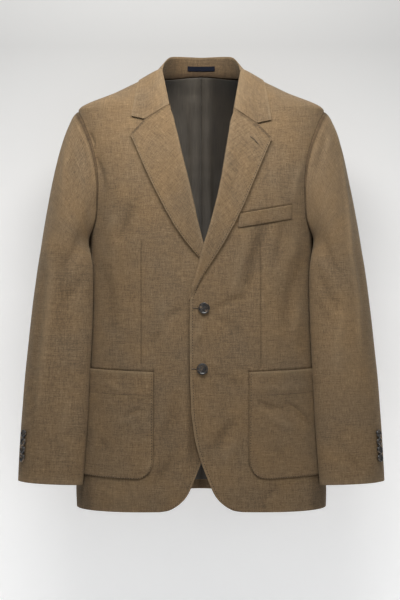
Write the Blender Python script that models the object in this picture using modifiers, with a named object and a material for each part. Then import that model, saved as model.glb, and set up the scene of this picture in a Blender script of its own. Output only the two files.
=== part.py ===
"""A single-breasted linen jacket, filled out as it hangs on a pair of shoulders, with no wearer.

The front faces -Y and the jacket's own left side is at +X. The origin is level with the points
where the shoulder seams meet the neck, midway between them, which is where the wearer holds it up.
Every cloth piece is an open sheet worked out from the cut sizes below and given its wall by
Solidify. Lengths are in millimetres and are turned into metres when a sheet becomes a mesh.
"""

import math

import bmesh
import bpy
import numpy as np
from mathutils import Vector

MM = 0.001

# Cloth walls and the gaps between pieces
SHELL = 1.6  # linen with its canvas
LIGHT = 1.2  # pockets and welt
SLEEVE_WALL = 1.4
LINING = 1.0
LINING_INSET = 10.0
LINING_CLEAR = 4.6
LINING_SHOULDER_DROP = 34.0
SEAM_GAP = 0.8
HALF_GAP = SEAM_GAP / 2
SHOULDER_GAP = 0.6  # each side, where the seam bends over the ridge

# The body: level sections, each a superellipse with its own front and back depth
SQUARENESS = 2.4
SIDE_SEAM_ANGLE = 98.0  # degrees round from the centre front
SHOULDER_HEIGHT = -67.2
NECK_HALF_WIDTH = 82.0
BACK_NECK_RISE = 9.5
HEM_SIDE = -772.0
HEM_BACK = -756.0
BODY = {
    "height": (-790, -742, -700, -600, -500, -450, -400, -350, -296, -263, -224, -201, -173,
               -142, -97, SHOULDER_HEIGHT, -33, 0, 12),
    "half_width": (223, 224, 220, 211, 204, 201, 199, 199, 200, 202, 206, 208.5, 212,
                   216, 219.8, 219.8, 150, NECK_HALF_WIDTH, 58),
    "front_depth": (104, 107, 109, 111, 112, 112, 112, 113, 114, 113.5, 111.5, 109, 104.5,
                    97.5, 85, 75, 59, 42, 36),
    "back_depth": (103, 104, 105, 106, 104, 101, 99, 102, 110, 115, 119, 120, 120,
                   118, 112, 106, 95, 80, 75),
}

# The armhole, from the shoulder down the front, under the arm and up the back
ARMHOLE_FRONT = {
    "angle": (90, 78, 67.3, 58.7, 57.1, 57.5, 59.3, 63.9, 72, 84, SIDE_SEAM_ANGLE),
    "height": (SHOULDER_HEIGHT, -76, -97, -142, -173, -201, -224, -263, -284, -294, -296),
}
ARMHOLE_BACK = {
    "angle": (SIDE_SEAM_ANGLE, 110, 118, 122, 122, 119.5, 111, 100, 90),
    "height": (-296, -285, -262, -224, -180, -142, -95, -76, SHOULDER_HEIGHT),
}

# The front, as distance from the centre line and height
CUTAWAY = {
    "across": (70, 42, 25, 10, 0, -11, -17),
    "height": (-771.5, -762, -745, -712, -686, -645, -603),
}
FRONT_EDGE = {"across": (-17, -19.3, -20, -19.3), "height": (-603, -540, -460, -405)}
ROLL_LINE = {
    "left": {
        "across": (-19.3, -14.5, -3.5, 4.8, 19, 36.6, 48, 57.5),
        "height": (-405, -392, -354, -322, -276, -205, -138, -80),
    },
    "right": {
        "across": (-19.3, -16.5, -11, -3.6, 8, 20.5, 36, 55),
        "height": (-405, -385, -350, -321, -278, -221, -157, -76),
    },
}
NECK_EDGE = {"across": (64, 74, NECK_HALF_WIDTH), "height": (-55, -26, 0)}
BACK_NECK = {"angle": (180, 160, 138, 115, 90), "height": (BACK_NECK_RISE, 8.5, 6.5, 3.5, 0)}
OVERLAP_LIFT = 2.3  # the left front lies over the right front near the centre
OVERLAP_REACH = 75.0

# Lapels: across and height, from the bottom of the outer edge up to the peak and the gorge
LAPEL_EDGE = {
    "left": {
        "across": (-12, 0.5, 35.8, 66.4, 93, 121.6),
        "height": (-392, -367.6, -311, -254, -192, -125),
    },
    "right": {"across": (9.5, 38.2, 83, 122), "height": (-341, -288, -206, -118)},
}
LAPEL_START = {"left": -392.0, "right": -303.0}  # height where the roll leaves the front edge
LAPEL_PEAK = {"left": (121.6, -125.0), "right": (122.0, -118.0)}
NOTCH = {"left": (96.8, -99.5), "right": (98.0, -92.0)}
GORGE_END = {"left": (57.5, -73.0), "right": (55.5, -66.0)}
LAPEL_LIFT = 3.0
LAPEL_ROLL = 5.0
LAPEL_ROLL_REACH = 26.0  # how far the roll's fullness runs over the lapel
LAPEL_FOLD = {"across": (-1.2, -3.0, -2.2), "lift": (0.1, 0.35, 0.9)}  # the turn, from the front's edge

# Collar: the fold and the outer edge, from the centre back to the front
COLLAR_STEPS = 22
COLLAR_FOLD = {
    "x": (0, 30, 53, 66.5, 68, 67.5, 65, 61.7, 58.3),
    "y": (71, 66, 46, 14, -10, -37.4, -51.3, -64, -76.6),
    "z": (42.7, 43.5, 40.5, 21, 8, -4, -20, -40.8, -65.8),
}
COLLAR_EDGE_BACK = {"angle": (180, 150, 118, 90), "height": (-9, -12, -15, -12.8)}
COLLAR_EDGE_FRONT = {"across": (108, 111, 114, 118), "height": (-12.8, -22, -40, -66)}
COLLAR_LIFT = 4.6
COLLAR_POINT = {"left": (122.0, -92.0), "right": (121.4, -85.0)}
STAND_DROP = 1.0  # how far the stand reaches down inside the neck seam
STAND_CLEAR = 3.0
STAND_INSET = (0.0, 6.0, 5.4, 3.2)  # how far the stand runs inside the neck edge, shoulder to lapel
STAND_END_ROWS = 4

# Sleeves: level rings below the armhole
SLEEVE = {
    "height": (-330, -366, -398, -441, -474, -506, -549, -592, -635, -678, -727),
    "outer": (288.5, 294, 298, 303, 306.5, 309.5, 313.5, 316.5, 319.5, 322, 324),
    "inner": (202.5, 202.5, 203, 204, 205.5, 207, 209, 211, 214, 217.5, 222),
    "centre": (-10, -12, -14, -17, -19, -21.5, -25, -28, -31, -34, -37),
    "half_depth": (66, 63, 60, 57, 55.5, 54, 51, 48.5, 46, 43, 40),
}
SLEEVE_SQUARENESS = 2.15
CUFF_TILT = 7.0  # how much higher the cuff's outer side is than its inner side
SLEEVE_CLEAR = 2.2
POCKET_CLEAR = 3.2

# Patch pockets and the breast welt
PATCH_LIFT = 0.9
POCKET_TOP = -530.0
POCKET_HEIGHT = 186.0
POCKET_WIDTH = 166.0
POCKET_ROUND = 34.0
POCKET_INNER = 83.0
POCKET_SLOPE = 5.0
WELT = {"inner": 64.0, "length": 98.0, "height": 24.0, "top": -257.0, "rise": 17.0}

# How finely the panels are cut into cells
SEAM_CELLS = 9
ARMHOLE_CELLS = 12
SHOULDER_CELLS = 10
SLEEVE_CELLS = 2 * ARMHOLE_CELLS
NECK_CELLS = 6

# Buttons
FRONT_BUTTON = 20.0
CUFF_BUTTON = 15.0
BUTTON_THICK = 3.4
BUTTON_SIDES = 14
FRONT_BUTTON_ACROSS = (5.0, 2.0)
FRONT_BUTTON_HEIGHTS = (-419.5, -524.0)
CUFF_BUTTON_TOP = -640.0
CUFF_BUTTON_STEP = 14.2
CUFF_BUTTON_CELL = 2  # cells round the sleeve from its outer side towards the front

LABEL = {"half_width": 25.0, "bottom": 15.0, "top": 24.0, "clear": 0.45}

LINEN = (0.235, 0.170, 0.105, 1.0)
LINING_COLOUR = (0.060, 0.055, 0.048, 1.0)
HORN = (0.030, 0.025, 0.022, 1.0)
NAVY = (0.012, 0.014, 0.024, 1.0)


def steady(knots, values, at):
    """Values read between knots by a cubic that never overshoots them."""
    knots = np.asarray(knots, float)
    values = np.asarray(values, float)
    at = np.clip(np.asarray(at, float), knots[0], knots[-1])
    run = np.diff(knots)
    slope = np.diff(values) / run
    tangent = np.zeros(len(knots))
    tangent[0] = slope[0]
    tangent[-1] = slope[-1]
    for i in range(1, len(knots) - 1):
        if slope[i - 1] * slope[i] > 0:
            before = 2 * run[i] + run[i - 1]
            after = run[i] + 2 * run[i - 1]
            tangent[i] = (before + after) / (before / slope[i - 1] + after / slope[i])
    i = np.clip(np.searchsorted(knots, at, side="right") - 1, 0, len(run) - 1)
    f = (at - knots[i]) / run[i]
    return (
        values[i] * (1 + 2 * f) * (1 - f) ** 2
        + run[i] * tangent[i] * f * (1 - f) ** 2
        + values[i + 1] * f**2 * (3 - 2 * f)
        + run[i] * tangent[i + 1] * f**2 * (f - 1)
    )


def flowing(columns, count):
    """A smooth curve through a table's rows, as count + 1 points evenly spaced along it."""
    rows = np.array(columns, float).T
    steps = np.linalg.norm(np.diff(rows, axis=0), axis=1)
    knots = np.concatenate([[0], np.cumsum(steps)])
    fine = np.linspace(0, knots[-1], 40 * len(rows))
    points = np.stack([steady(knots, rows[:, c], fine) for c in range(rows.shape[1])], axis=1)
    along = np.concatenate([[0], np.cumsum(np.linalg.norm(np.diff(points, axis=0), axis=1))])
    even = np.linspace(0, along[-1], count + 1)
    return np.stack([np.interp(even, along, points[:, c]) for c in range(rows.shape[1])], axis=1)


def chain(*stretches):
    """Stretches, each a table and its number of cells, joined end to end with a corner between."""
    parts = [flowing(columns, count) for columns, count in stretches]
    return np.concatenate([parts[0]] + [part[1:] for part in parts[1:]])


def power(value, exponent):
    return np.sign(value) * np.abs(value) ** exponent


def section(height):
    return [steady(BODY["height"], BODY[c], height) for c in ("half_width", "front_depth", "back_depth")]


def skin(angle, height):
    """Points of the body's outer surface. Angle 0 is the centre front, 90 the side, 180 the back."""
    turn = np.radians(np.asarray(angle, float))
    half_width, front, back = section(height)
    depth = np.where(np.cos(turn) > 0, front, back)
    x = half_width * power(np.sin(turn), 2 / SQUARENESS)
    y = -depth * power(np.cos(turn), 2 / SQUARENESS)
    return np.stack([x, y, np.broadcast_to(height, x.shape)], axis=-1)


def body(angle, height, out=0.0):
    """Points of the body's surface moved out along its normal."""
    angle = np.asarray(angle, float)
    height = np.asarray(height, float)
    d_angle, d_height = 0.6, 0.8
    round_it = skin(angle + d_angle, height) - skin(angle - d_angle, height)
    up = skin(angle, height + d_height) - skin(angle, height - d_height)
    normal = np.cross(round_it, up)
    normal /= np.linalg.norm(normal, axis=-1, keepdims=True)
    return skin(angle, height) + normal * np.asarray(out, float)[..., None]


ANGLES = np.linspace(-40, 180, 441)


def girth(height):
    """Length round the section from the centre front to each of ANGLES."""
    ring = skin(ANGLES, np.full(len(ANGLES), float(height)))
    along = np.concatenate([[0], np.cumsum(np.linalg.norm(np.diff(ring, axis=0), axis=1))])
    return along - np.interp(0, ANGLES, along)


def wrapped_at(angle, height):
    """Distance round from the centre front, for an angle and a height."""
    return np.array([np.interp(a, ANGLES, girth(h)) for a, h in zip(angle, height)])


def angle_of(around, height):
    shape = np.shape(around)
    pairs = zip(np.ravel(around), np.ravel(height))
    return np.array([np.interp(s, girth(h), ANGLES) for s, h in pairs]).reshape(shape)


def angle_at(across, height):
    """Angle on the front of the body, for a distance from the centre line and a height."""
    half_width = section(height)[0]
    share = np.clip(np.asarray(across, float) / half_width, -1, 1)
    return np.degrees(np.arcsin(power(share, SQUARENESS / 2)))


def patch(bottom, right, top, left):
    """A four-sided grid of flat points blended from its edges (rows run from bottom to top)."""
    u = np.linspace(0, 1, len(bottom))[None, :, None]
    v = np.linspace(0, 1, len(left))[:, None, None]
    edges = (1 - v) * bottom[None] + v * top[None] + (1 - u) * left[:, None] + u * right[:, None]
    corners = (
        (1 - u) * (1 - v) * bottom[0]
        + u * (1 - v) * bottom[-1]
        + (1 - u) * v * top[0]
        + u * v * top[-1]
    )
    return edges - corners


def unrolled(points, by_angle):
    """Flat points, around and height, from across and height or from angle and height."""
    height = points[:, 1]
    angle = points[:, 0] if by_angle else angle_at(points[:, 0], height)
    return np.stack([wrapped_at(angle, height), height], axis=1)


def material(name, colour, roughness):
    made = bpy.data.materials.new(name)
    made.use_nodes = True
    shader = made.node_tree.nodes["Principled BSDF"]
    shader.inputs["Base Color"].default_value = colour
    shader.inputs["Roughness"].default_value = roughness
    shader.inputs["Metallic"].default_value = 0.0
    return made


def finished(name, mesh, collection, colour, roughness):
    obj = bpy.data.objects.new(name, mesh)
    collection.objects.link(obj)
    mesh.materials.append(material(name + "_finish", colour, roughness))
    mesh.shade_smooth()
    mesh.set_sharp_from_angle(angle=math.radians(50))
    return obj


def sheet(name, points, wall, collection, colour=LINEN, side=1, outward=False, closed=False):
    """A grid of points (rows, columns, xyz in mm) as cloth with its wall under or over them."""
    rows, columns = points.shape[:2]
    builder = bmesh.new()
    bmesh.ops.create_grid(builder, x_segments=columns - 1, y_segments=rows - 1, size=0.5)
    builder.verts.ensure_lookup_table()
    places = points.reshape(-1, 3) * (side, 1, 1) * MM
    for vertex, place in zip(builder.verts, places):
        vertex.co = place
    if closed:
        bmesh.ops.remove_doubles(builder, verts=builder.verts, dist=1e-6)
    if side < 0:
        bmesh.ops.reverse_faces(builder, faces=builder.faces)
    mesh = bpy.data.meshes.new(name)
    builder.to_mesh(mesh)
    builder.free()
    obj = finished(name, mesh, collection, colour, 0.9)
    solid = obj.modifiers.new("Wall", "SOLIDIFY")
    solid.thickness = wall * MM
    solid.offset = 1.0 if outward else -1.0
    return obj


def shrunk(grid, gap, top_gap=None):
    """A grid of flat points drawn in by half a seam gap along all four edges."""
    grid = grid.copy()
    for edge, inner in ((np.s_[0], np.s_[1]), (np.s_[-1], np.s_[-2])):
        inward = grid[inner] - grid[edge]
        step = top_gap if top_gap and edge == -1 else gap
        grid[edge] += inward / np.linalg.norm(inward, axis=-1, keepdims=True) * step
        inward = grid[:, inner] - grid[:, edge]
        grid[:, edge] += inward / np.linalg.norm(inward, axis=-1, keepdims=True) * gap
    return grid


def front_lift(angle, height, over):
    """How far a front moves out or in where the two fronts overlap at the centre."""
    near = np.clip(1 - skin(angle, height)[..., 0] / OVERLAP_REACH, 0, 1)
    blend = near**2 * (3 - 2 * near)
    return OVERLAP_LIFT * blend * (0.45 if over else -0.55)


def neck_edge(label):
    """The front's neck seam, from the top of the roll line to the shoulder seam."""
    roll = ROLL_LINE[label]
    across = (roll["across"][-1],) + NECK_EDGE["across"]
    return across, (roll["height"][-1],) + NECK_EDGE["height"]


def front_grid(label):
    seam = ((SIDE_SEAM_ANGLE,) * 4, (HEM_SIDE, -600, -420, -296))
    left = unrolled(
        chain(
            ((CUTAWAY["across"], CUTAWAY["height"]), 4),
            ((FRONT_EDGE["across"], FRONT_EDGE["height"]), 3),
            ((ROLL_LINE[label]["across"], ROLL_LINE[label]["height"]), 8),
            (neck_edge(label), 6),
        ),
        by_angle=False,
    )
    armhole = (ARMHOLE_FRONT["angle"][::-1], ARMHOLE_FRONT["height"][::-1])
    right = unrolled(chain((seam, SEAM_CELLS), (armhole, ARMHOLE_CELLS)), by_angle=True)
    share = np.linspace(0, 1, SHOULDER_CELLS + 1)[:, None]
    bottom = left[0] + (right[0] - left[0]) * share
    shoulder = (np.full(6, 90.0), np.linspace(0, SHOULDER_HEIGHT, 6))
    top = unrolled(flowing(shoulder, SHOULDER_CELLS), by_angle=True)
    return patch(bottom, right, top, left)


def make_front(name, label, side, over, collection):
    flat = shrunk(front_grid(label), HALF_GAP, SHOULDER_GAP)
    angle = angle_of(flat[..., 0], flat[..., 1])
    points = body(angle, flat[..., 1], front_lift(angle, flat[..., 1], over))
    return sheet(name, points, SHELL, collection, side=side)


def from_centre_back(points):
    """Flat points measured round from the centre back, from angle and height."""
    around = np.array([girth(h)[-1] for h in points[:, 1]])
    return np.stack([around - wrapped_at(points[:, 0], points[:, 1]), points[:, 1]], axis=1)


def back_grid():
    """The half back, flat, measured round from the centre back."""
    centre = ((180.0,) * 4, (HEM_BACK, -520, -250, BACK_NECK_RISE))
    seam = ((SIDE_SEAM_ANGLE,) * 4, (HEM_SIDE, -600, -420, -296))
    left = from_centre_back(chain((centre, SEAM_CELLS + ARMHOLE_CELLS)))
    armhole = (ARMHOLE_BACK["angle"], ARMHOLE_BACK["height"])
    right = from_centre_back(chain((seam, SEAM_CELLS), (armhole, ARMHOLE_CELLS)))
    hem = (np.linspace(180, SIDE_SEAM_ANGLE, 6), np.linspace(HEM_BACK, HEM_SIDE, 6))
    bottom = from_centre_back(flowing(hem, NECK_CELLS + SHOULDER_CELLS))
    neck = (BACK_NECK["angle"], BACK_NECK["height"])
    shoulder = (np.full(6, 90.0), np.linspace(0, SHOULDER_HEIGHT, 6))
    top = from_centre_back(chain((neck, NECK_CELLS), (shoulder, SHOULDER_CELLS)))
    return patch(bottom, right, top, left)


def back_points(flat, out):
    around = np.array([girth(h)[-1] for h in np.ravel(flat[..., 1])]).reshape(flat.shape[:2])
    angle = angle_of(around - flat[..., 0], flat[..., 1])
    return body(angle, flat[..., 1], np.full(angle.shape, out))


def make_back(name, side, collection):
    points = back_points(shrunk(back_grid(), HALF_GAP, SHOULDER_GAP), 0.0)
    return sheet(name, points[:, ::-1], SHELL, collection, side=side)


def make_lining(name, side, collection):
    rows = list(range(1, SEAM_CELLS + ARMHOLE_CELLS, 2)) + [SEAM_CELLS + ARMHOLE_CELLS]
    flat = shrunk(back_grid()[rows], LINING_INSET)
    flat[:, 0, 0] = HALF_GAP
    drop = np.clip(np.linspace(-0.6, 1, flat.shape[1]), 0, 1)
    flat[-1, :, 1] -= LINING_SHOULDER_DROP * drop
    points = back_points(flat, -SHELL - LINING_CLEAR)
    return sheet(name, points[:, ::-1], LINING, collection, LINING_COLOUR, side=side)


def lapel_grid(label, rows=13, columns=7):
    """Lapel in across and height: column 0 is the roll line, the last one the outer edge."""
    line = ROLL_LINE[label]
    heights = np.linspace(LAPEL_START[label], GORGE_END[label][1], 12)
    across = steady(line["height"], line["across"], heights)
    across[-1] = GORGE_END[label][0]
    roll = flowing((across, heights), rows)
    edge = flowing((LAPEL_EDGE[label]["across"], LAPEL_EDGE[label]["height"]), rows)
    gorge = np.linspace(GORGE_END[label], NOTCH[label], columns - 2)
    top = np.concatenate([gorge, np.linspace(NOTCH[label], LAPEL_PEAK[label], 4)[1:]])
    bottom = np.linspace(roll[0], edge[0], columns + 1)
    return patch(bottom, edge, top, roll)


def make_lapel(name, label, side, over, collection):
    """The turned-back front: it leaves the front's edge, rolls over and lies on the chest."""
    flat = lapel_grid(label)
    columns = flat.shape[1]
    width = np.linalg.norm(flat[:, -1] - flat[:, 0], axis=1)[:, None]
    reach = np.linspace(0, 1, columns)[None, :] * width
    roll = np.maximum(LAPEL_ROLL * np.clip(width / 50, 0.0, 1), 1.0)
    lift = 1.0 + (LAPEL_LIFT - 1.0) * np.clip(width / 30, 0, 1)
    lift = lift + np.maximum(roll - lift, 0) * np.exp(-((reach / LAPEL_ROLL_REACH) ** 2))
    height = flat[..., 1]
    angle = angle_at(flat[..., 0], height)
    base = front_lift(angle, height, over)
    turned = body(angle, height, lift + base)
    fold = []
    for shift, share in zip(LAPEL_FOLD["across"], LAPEL_FOLD["lift"]):
        near = angle_at(flat[:, 0, 0] + shift, height[:, 0])
        fold.append(body(near, height[:, 0], base[:, 0] + lift[:, 0] * share - 0.3 * (1 - share)))
    points = np.concatenate([np.stack(fold, axis=1), turned], axis=1)
    return sheet(name, points, SHELL, collection, side=side, outward=True)


def by_angles(points):
    """Points given as across and height, as angle and height."""
    return np.stack([angle_at(points[:, 0], points[:, 1]), points[:, 1]], axis=1)


def neck_line(label, count):
    """Just inside the neck seam, from the centre back to the top of the lapel: angle and height."""
    across, height = neck_edge(label)
    inner = np.array(across[::-1]) - np.array(STAND_INSET)
    front = by_angles(flowing((inner, height[::-1]), count - count // 2))
    back = flowing((BACK_NECK["angle"], BACK_NECK["height"]), count // 2)
    return np.concatenate([back, front[1:]])


def pushed_clear(points, lift):
    """Points moved out, where they need it, until they stand lift above the body's surface."""
    points = points.copy()
    for _ in range(4):
        height = np.minimum(points[..., 2], BODY["height"][-1])
        half_width, front, back = section(height)
        depth = np.where(points[..., 1] < 0, front, back)
        side = (np.abs(points[..., 0]) / half_width) ** (SQUARENESS / 2)
        ahead = (np.abs(points[..., 1]) / depth) ** (SQUARENESS / 2)
        turn = np.degrees(np.arctan2(side, ahead))
        turn = np.where(points[..., 1] < 0, turn, 180 - turn)
        base = body(turn, height, np.zeros(turn.shape))
        normal = body(turn, height, np.ones(turn.shape)) - base
        clear = np.sum((points - base) * normal, axis=-1)
        push = np.clip(lift - clear, 0, None) * (points[..., 2] < 4)
        points += normal * push[..., None]
    return points


def collar_half(label, stand_cells=3, fall_cells=6):
    """One half of the collar, rows from the centre back to the front, columns from seam to edge."""
    line = neck_line(label, COLLAR_STEPS)
    inside = -(2 * SHELL + STAND_CLEAR)
    out = np.where(np.arange(len(line)) > len(line) - 1 - STAND_END_ROWS, 0.9, inside)
    seam = body(line[:, 0], line[:, 1] - STAND_DROP, out)
    point, notch, end = COLLAR_POINT[label], NOTCH[label], GORGE_END[label]
    across = COLLAR_EDGE_FRONT["across"] + (point[0],)
    height = COLLAR_EDGE_FRONT["height"] + (point[1],)
    front_cells = COLLAR_STEPS - COLLAR_STEPS // 2
    flat = np.concatenate([
        flowing((COLLAR_EDGE_BACK["angle"], COLLAR_EDGE_BACK["height"]), COLLAR_STEPS // 2),
        by_angles(flowing((across, height), front_cells))[1:],
    ])
    share = np.linspace(0, 1, len(flat)) ** 3
    edge = body(flat[:, 0], flat[:, 1], np.full(len(flat), COLLAR_LIFT))
    fold = flowing([COLLAR_FOLD[c] for c in "xyz"], COLLAR_STEPS)
    clear = SEAM_GAP * 2
    gorge = np.linspace(end, notch, fall_cells - 1) + (0, clear)
    front = np.concatenate([gorge, np.linspace(gorge[-1], (point[0], point[1]), 3)[1:]])
    angle = angle_at(front[:, 0], front[:, 1])
    front_edge = body(angle, front[:, 1], np.full(len(front), COLLAR_LIFT + 0.8))
    fold += (front_edge[0] - fold[-1]) * share[:, None]
    back_edge = np.linspace(fold[0], edge[0], fall_cells + 1)
    edge += (front_edge[-1] - edge[-1]) * share[:, None]
    fall = patch(back_edge, edge, front_edge, fold)
    fall = pushed_clear(fall, COLLAR_LIFT)
    seam[-1] = body(angle[:1], front[:1, 1], np.array([0.9]))[0]
    share = np.linspace(0, 1, stand_cells + 1)[:-1][None, :, None]
    stand = seam[:, None] + (fall[:, :1] - seam[:, None]) * share
    return np.concatenate([stand, fall], axis=1)


def make_collar(collection):
    left = collar_half("left")
    right = collar_half("right")[1:][::-1] * (-1, 1, 1)
    return sheet("collar", np.concatenate([right, left]), SHELL, collection, outward=True)


def armhole_loop(count):
    """The armhole seam as a closed loop of points, from the shoulder down the front."""
    loop = chain(
        ((ARMHOLE_FRONT["angle"], ARMHOLE_FRONT["height"]), count // 2),
        ((ARMHOLE_BACK["angle"], ARMHOLE_BACK["height"]), count - count // 2),
    )
    return body(loop[:, 0], loop[:, 1], np.zeros(len(loop)))


def sleeve_ring(height, count):
    """A level ring of the sleeve, from its outer side round the front to the inner side and back."""
    columns = ("outer", "inner", "centre", "half_depth")
    up = SLEEVE["height"][::-1]
    outer, inner, centre, half_depth = [steady(up, SLEEVE[c][::-1], height) for c in columns]
    turn = np.linspace(0, 2 * math.pi, count + 1)
    half_width = (outer - inner) / 2
    x = half_width * power(np.cos(turn), 2 / SLEEVE_SQUARENESS)
    y = -half_depth * power(np.sin(turn), 2 / SLEEVE_SQUARENESS)
    down = np.clip((SLEEVE["height"][0] - height) / 400, 0, 1)
    z = height + CUFF_TILT * down * x / (2 * half_width)
    return np.stack([(outer + inner) / 2 + x, centre + y, z], axis=1)


def sleeve_points(cap_rings=8, rings=9):
    """Rings from the armhole to the cuff. The cap leaves the seam outward and bends down."""
    seam = armhole_loop(SLEEVE_CELLS)
    first = sleeve_ring(SLEEVE["height"][0], SLEEVE_CELLS)
    second = sleeve_ring(SLEEVE["height"][0] - 20, SLEEVE_CELLS)
    down = (second - first) / 20
    up = ((seam[:, 2] - seam[:, 2].min()) / np.ptp(seam[:, 2]))[:, None]
    radial = (seam - seam[:-1].mean(axis=0)) * (0, 1, 1)
    radial /= np.linalg.norm(radial, axis=1, keepdims=True)
    leave = np.array((1, 0, 0)) * (0.9 - 0.12 * up) - np.array((0, 0, 1)) * (1 - 0.37 * up)
    leave = leave + radial * (0, 0.45, 0)
    leave /= np.linalg.norm(leave, axis=1, keepdims=True)
    span = np.linalg.norm(first - seam, axis=1)[:, None]
    rows = []
    for f in np.arange(cap_rings) / cap_rings:
        rows.append(
            seam * (1 + 2 * f) * (1 - f) ** 2
            + leave * span * 0.52 * f * (1 - f) ** 2
            + first * f**2 * (3 - 2 * f)
            + down * span * 0.9 * f**2 * (f - 1)
        )
    for height in np.linspace(SLEEVE["height"][0], SLEEVE["height"][-1], rings):
        rows.append(sleeve_ring(height, SLEEVE_CELLS))
    points = np.array(rows)
    lift = np.where(points[1:, :, 2] < POCKET_TOP + 40, POCKET_CLEAR, SLEEVE_CLEAR)
    points[1:] = pushed_clear(points[1:], lift)
    points[0] += leave * SEAM_GAP + np.array((SEAM_GAP, 0, 0))
    return points


def make_sleeve(name, side, collection):
    points = sleeve_points()
    return sheet(name, points, SLEEVE_WALL, collection, side=side, closed=True)


def mirrored(points):
    """Points of one side of the pocket on its other side."""
    return np.stack([POCKET_WIDTH - points[:, 0], points[:, 1]], axis=1)


def pocket_grid(cells=8):
    """The patch pocket, flat on the front: a mouth, two sides and a bottom with round corners."""
    start = wrapped_at(angle_at([POCKET_INNER], [POCKET_TOP]), [POCKET_TOP])[0]
    low = POCKET_HEIGHT - POCKET_ROUND

    def corner(first, last):
        turn = np.radians(np.linspace(first, last, 4))
        return np.stack([POCKET_ROUND * (1 - np.cos(turn)), low + POCKET_ROUND * np.sin(turn)], axis=1)

    side = np.stack([np.zeros(cells), np.linspace(0, low, cells)], axis=1)
    left = np.concatenate([side, corner(0, 45)[1:]])
    turned = corner(45, 90)
    middle = np.stack([
        np.linspace(POCKET_ROUND, POCKET_WIDTH - POCKET_ROUND, cells - 1), np.full(cells - 1, POCKET_HEIGHT)
    ], axis=1)
    bottom = np.concatenate([turned, middle[1:], mirrored(turned)[::-1][1:]])
    top = np.stack([np.linspace(0, POCKET_WIDTH, len(bottom)), np.zeros(len(bottom))], axis=1)
    grid = patch(bottom, mirrored(left)[::-1], top, left[::-1])
    slope = POCKET_SLOPE * grid[..., 0] / POCKET_WIDTH
    return np.stack([start + grid[..., 0], POCKET_TOP - grid[..., 1] + slope], axis=-1)


def lying(name, flat, lift, wall, side, over, collection):
    """A flat piece laid on the front, just clear of it."""
    angle = angle_of(flat[..., 0], flat[..., 1])
    out = np.full(angle.shape, lift) + front_lift(angle, flat[..., 1], over)
    return sheet(name, body(angle, flat[..., 1], out), wall, collection, side=side, outward=True)


def welt_grid(rows=3, columns=7):
    start = angle_at(np.array([WELT["inner"]]), np.array([WELT["top"]]))
    around = wrapped_at(start, [WELT["top"]])[0]
    u = np.linspace(0, 1, columns)[None, :] * np.ones((rows, 1))
    v = np.linspace(0, 1, rows)[:, None] * np.ones((1, columns))
    height = WELT["top"] + u * WELT["rise"] - (1 - v) * WELT["height"]
    return np.stack([around + u * WELT["length"], height], axis=-1)


def button_mesh(name, diameter):
    """A turned button with a raised rim and a dished face, its back at z = 0."""
    radius = diameter / 2
    profile = ((0.72, 0.0), (1.0, 0.45), (0.88, 1.0), (0.70, 0.75))
    turned = bmesh.new()
    rim = [turned.verts.new((r * radius * MM, 0, h * BUTTON_THICK * MM)) for r, h in profile]
    for first, second in zip(rim, rim[1:]):
        turned.edges.new((first, second))
    bmesh.ops.spin(
        turned, geom=turned.verts[:] + turned.edges[:], axis=(0, 0, 1), cent=(0, 0, 0),
        steps=BUTTON_SIDES, angle=2 * math.pi, use_merge=True,
    )
    bmesh.ops.remove_doubles(turned, verts=turned.verts, dist=1e-6)
    bmesh.ops.holes_fill(turned, edges=turned.edges)
    bmesh.ops.recalc_face_normals(turned, faces=turned.faces)
    mesh = bpy.data.meshes.new(name)
    turned.to_mesh(mesh)
    turned.free()
    return mesh


def place_button(name, diameter, seat, normal, collection):
    obj = finished(name, button_mesh(name, diameter), collection, HORN, 0.35)
    facing = Vector(normal).normalized()
    obj.rotation_euler = facing.to_track_quat("Z", "Y").to_euler()
    obj.location = Vector(seat) * MM
    return obj


def make_front_buttons(collection):
    names = ("button_front_upper", "button_front_lower")
    for name, across, height in zip(names, FRONT_BUTTON_ACROSS, FRONT_BUTTON_HEIGHTS):
        angle = angle_at(np.array([across]), np.array([height]))
        lift = front_lift(angle, np.array([height]), True) + 0.8
        near = body(angle, np.array([height]), lift)[0]
        far = body(angle, np.array([height]), lift + 1)[0]
        place_button(name, FRONT_BUTTON, near, far - near, collection)


def make_cuff_buttons(label, side, collection):
    """Four buttons up the outer side of the cuff, each set flat on the sleeve's cell."""
    sleeve = sleeve_points()
    before, after = sleeve[:, CUFF_BUTTON_CELL], sleeve[:, CUFF_BUTTON_CELL + 1]
    middle = (before + after) / 2
    flip = np.array((side, 1, 1))
    for i in range(4):
        height = CUFF_BUTTON_TOP - i * CUFF_BUTTON_STEP
        row = int(np.argmax(middle[:, 2] < height))
        share = (height - middle[row, 2]) / (middle[row - 1, 2] - middle[row, 2])
        seat = middle[row] + (middle[row - 1] - middle[row]) * share
        normal = np.cross(middle[row - 1] - middle[row], after[row] - before[row])
        normal *= np.sign(normal[0]) / np.linalg.norm(normal)
        place_button(
            f"button_cuff_{label}_{i + 1}", CUFF_BUTTON - 1.2, (seat + normal * SEAM_GAP) * flip,
            normal * flip, collection,
        )


def make_label(collection):
    """The woven neck label on the inside of the stand."""
    half = collar_half("left")
    bottom, top = half[:9, 0], half[:9, 3]
    places = np.linspace(-LABEL["half_width"], LABEL["half_width"], 7)
    rows = []
    for height in (LABEL["bottom"], LABEL["top"]):
        row = []
        for x in places:
            low = [np.interp(abs(x), bottom[:, 0], bottom[:, c]) for c in (1, 2)]
            high = [np.interp(abs(x), top[:, 0], top[:, c]) for c in (1, 2)]
            share = (height - low[1]) / (high[1] - low[1])
            row.append((x, low[0] + (high[0] - low[0]) * share - LABEL["clear"], height))
        rows.append(row)
    return sheet("label", np.array(rows), LINING, collection, NAVY, outward=True)


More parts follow.
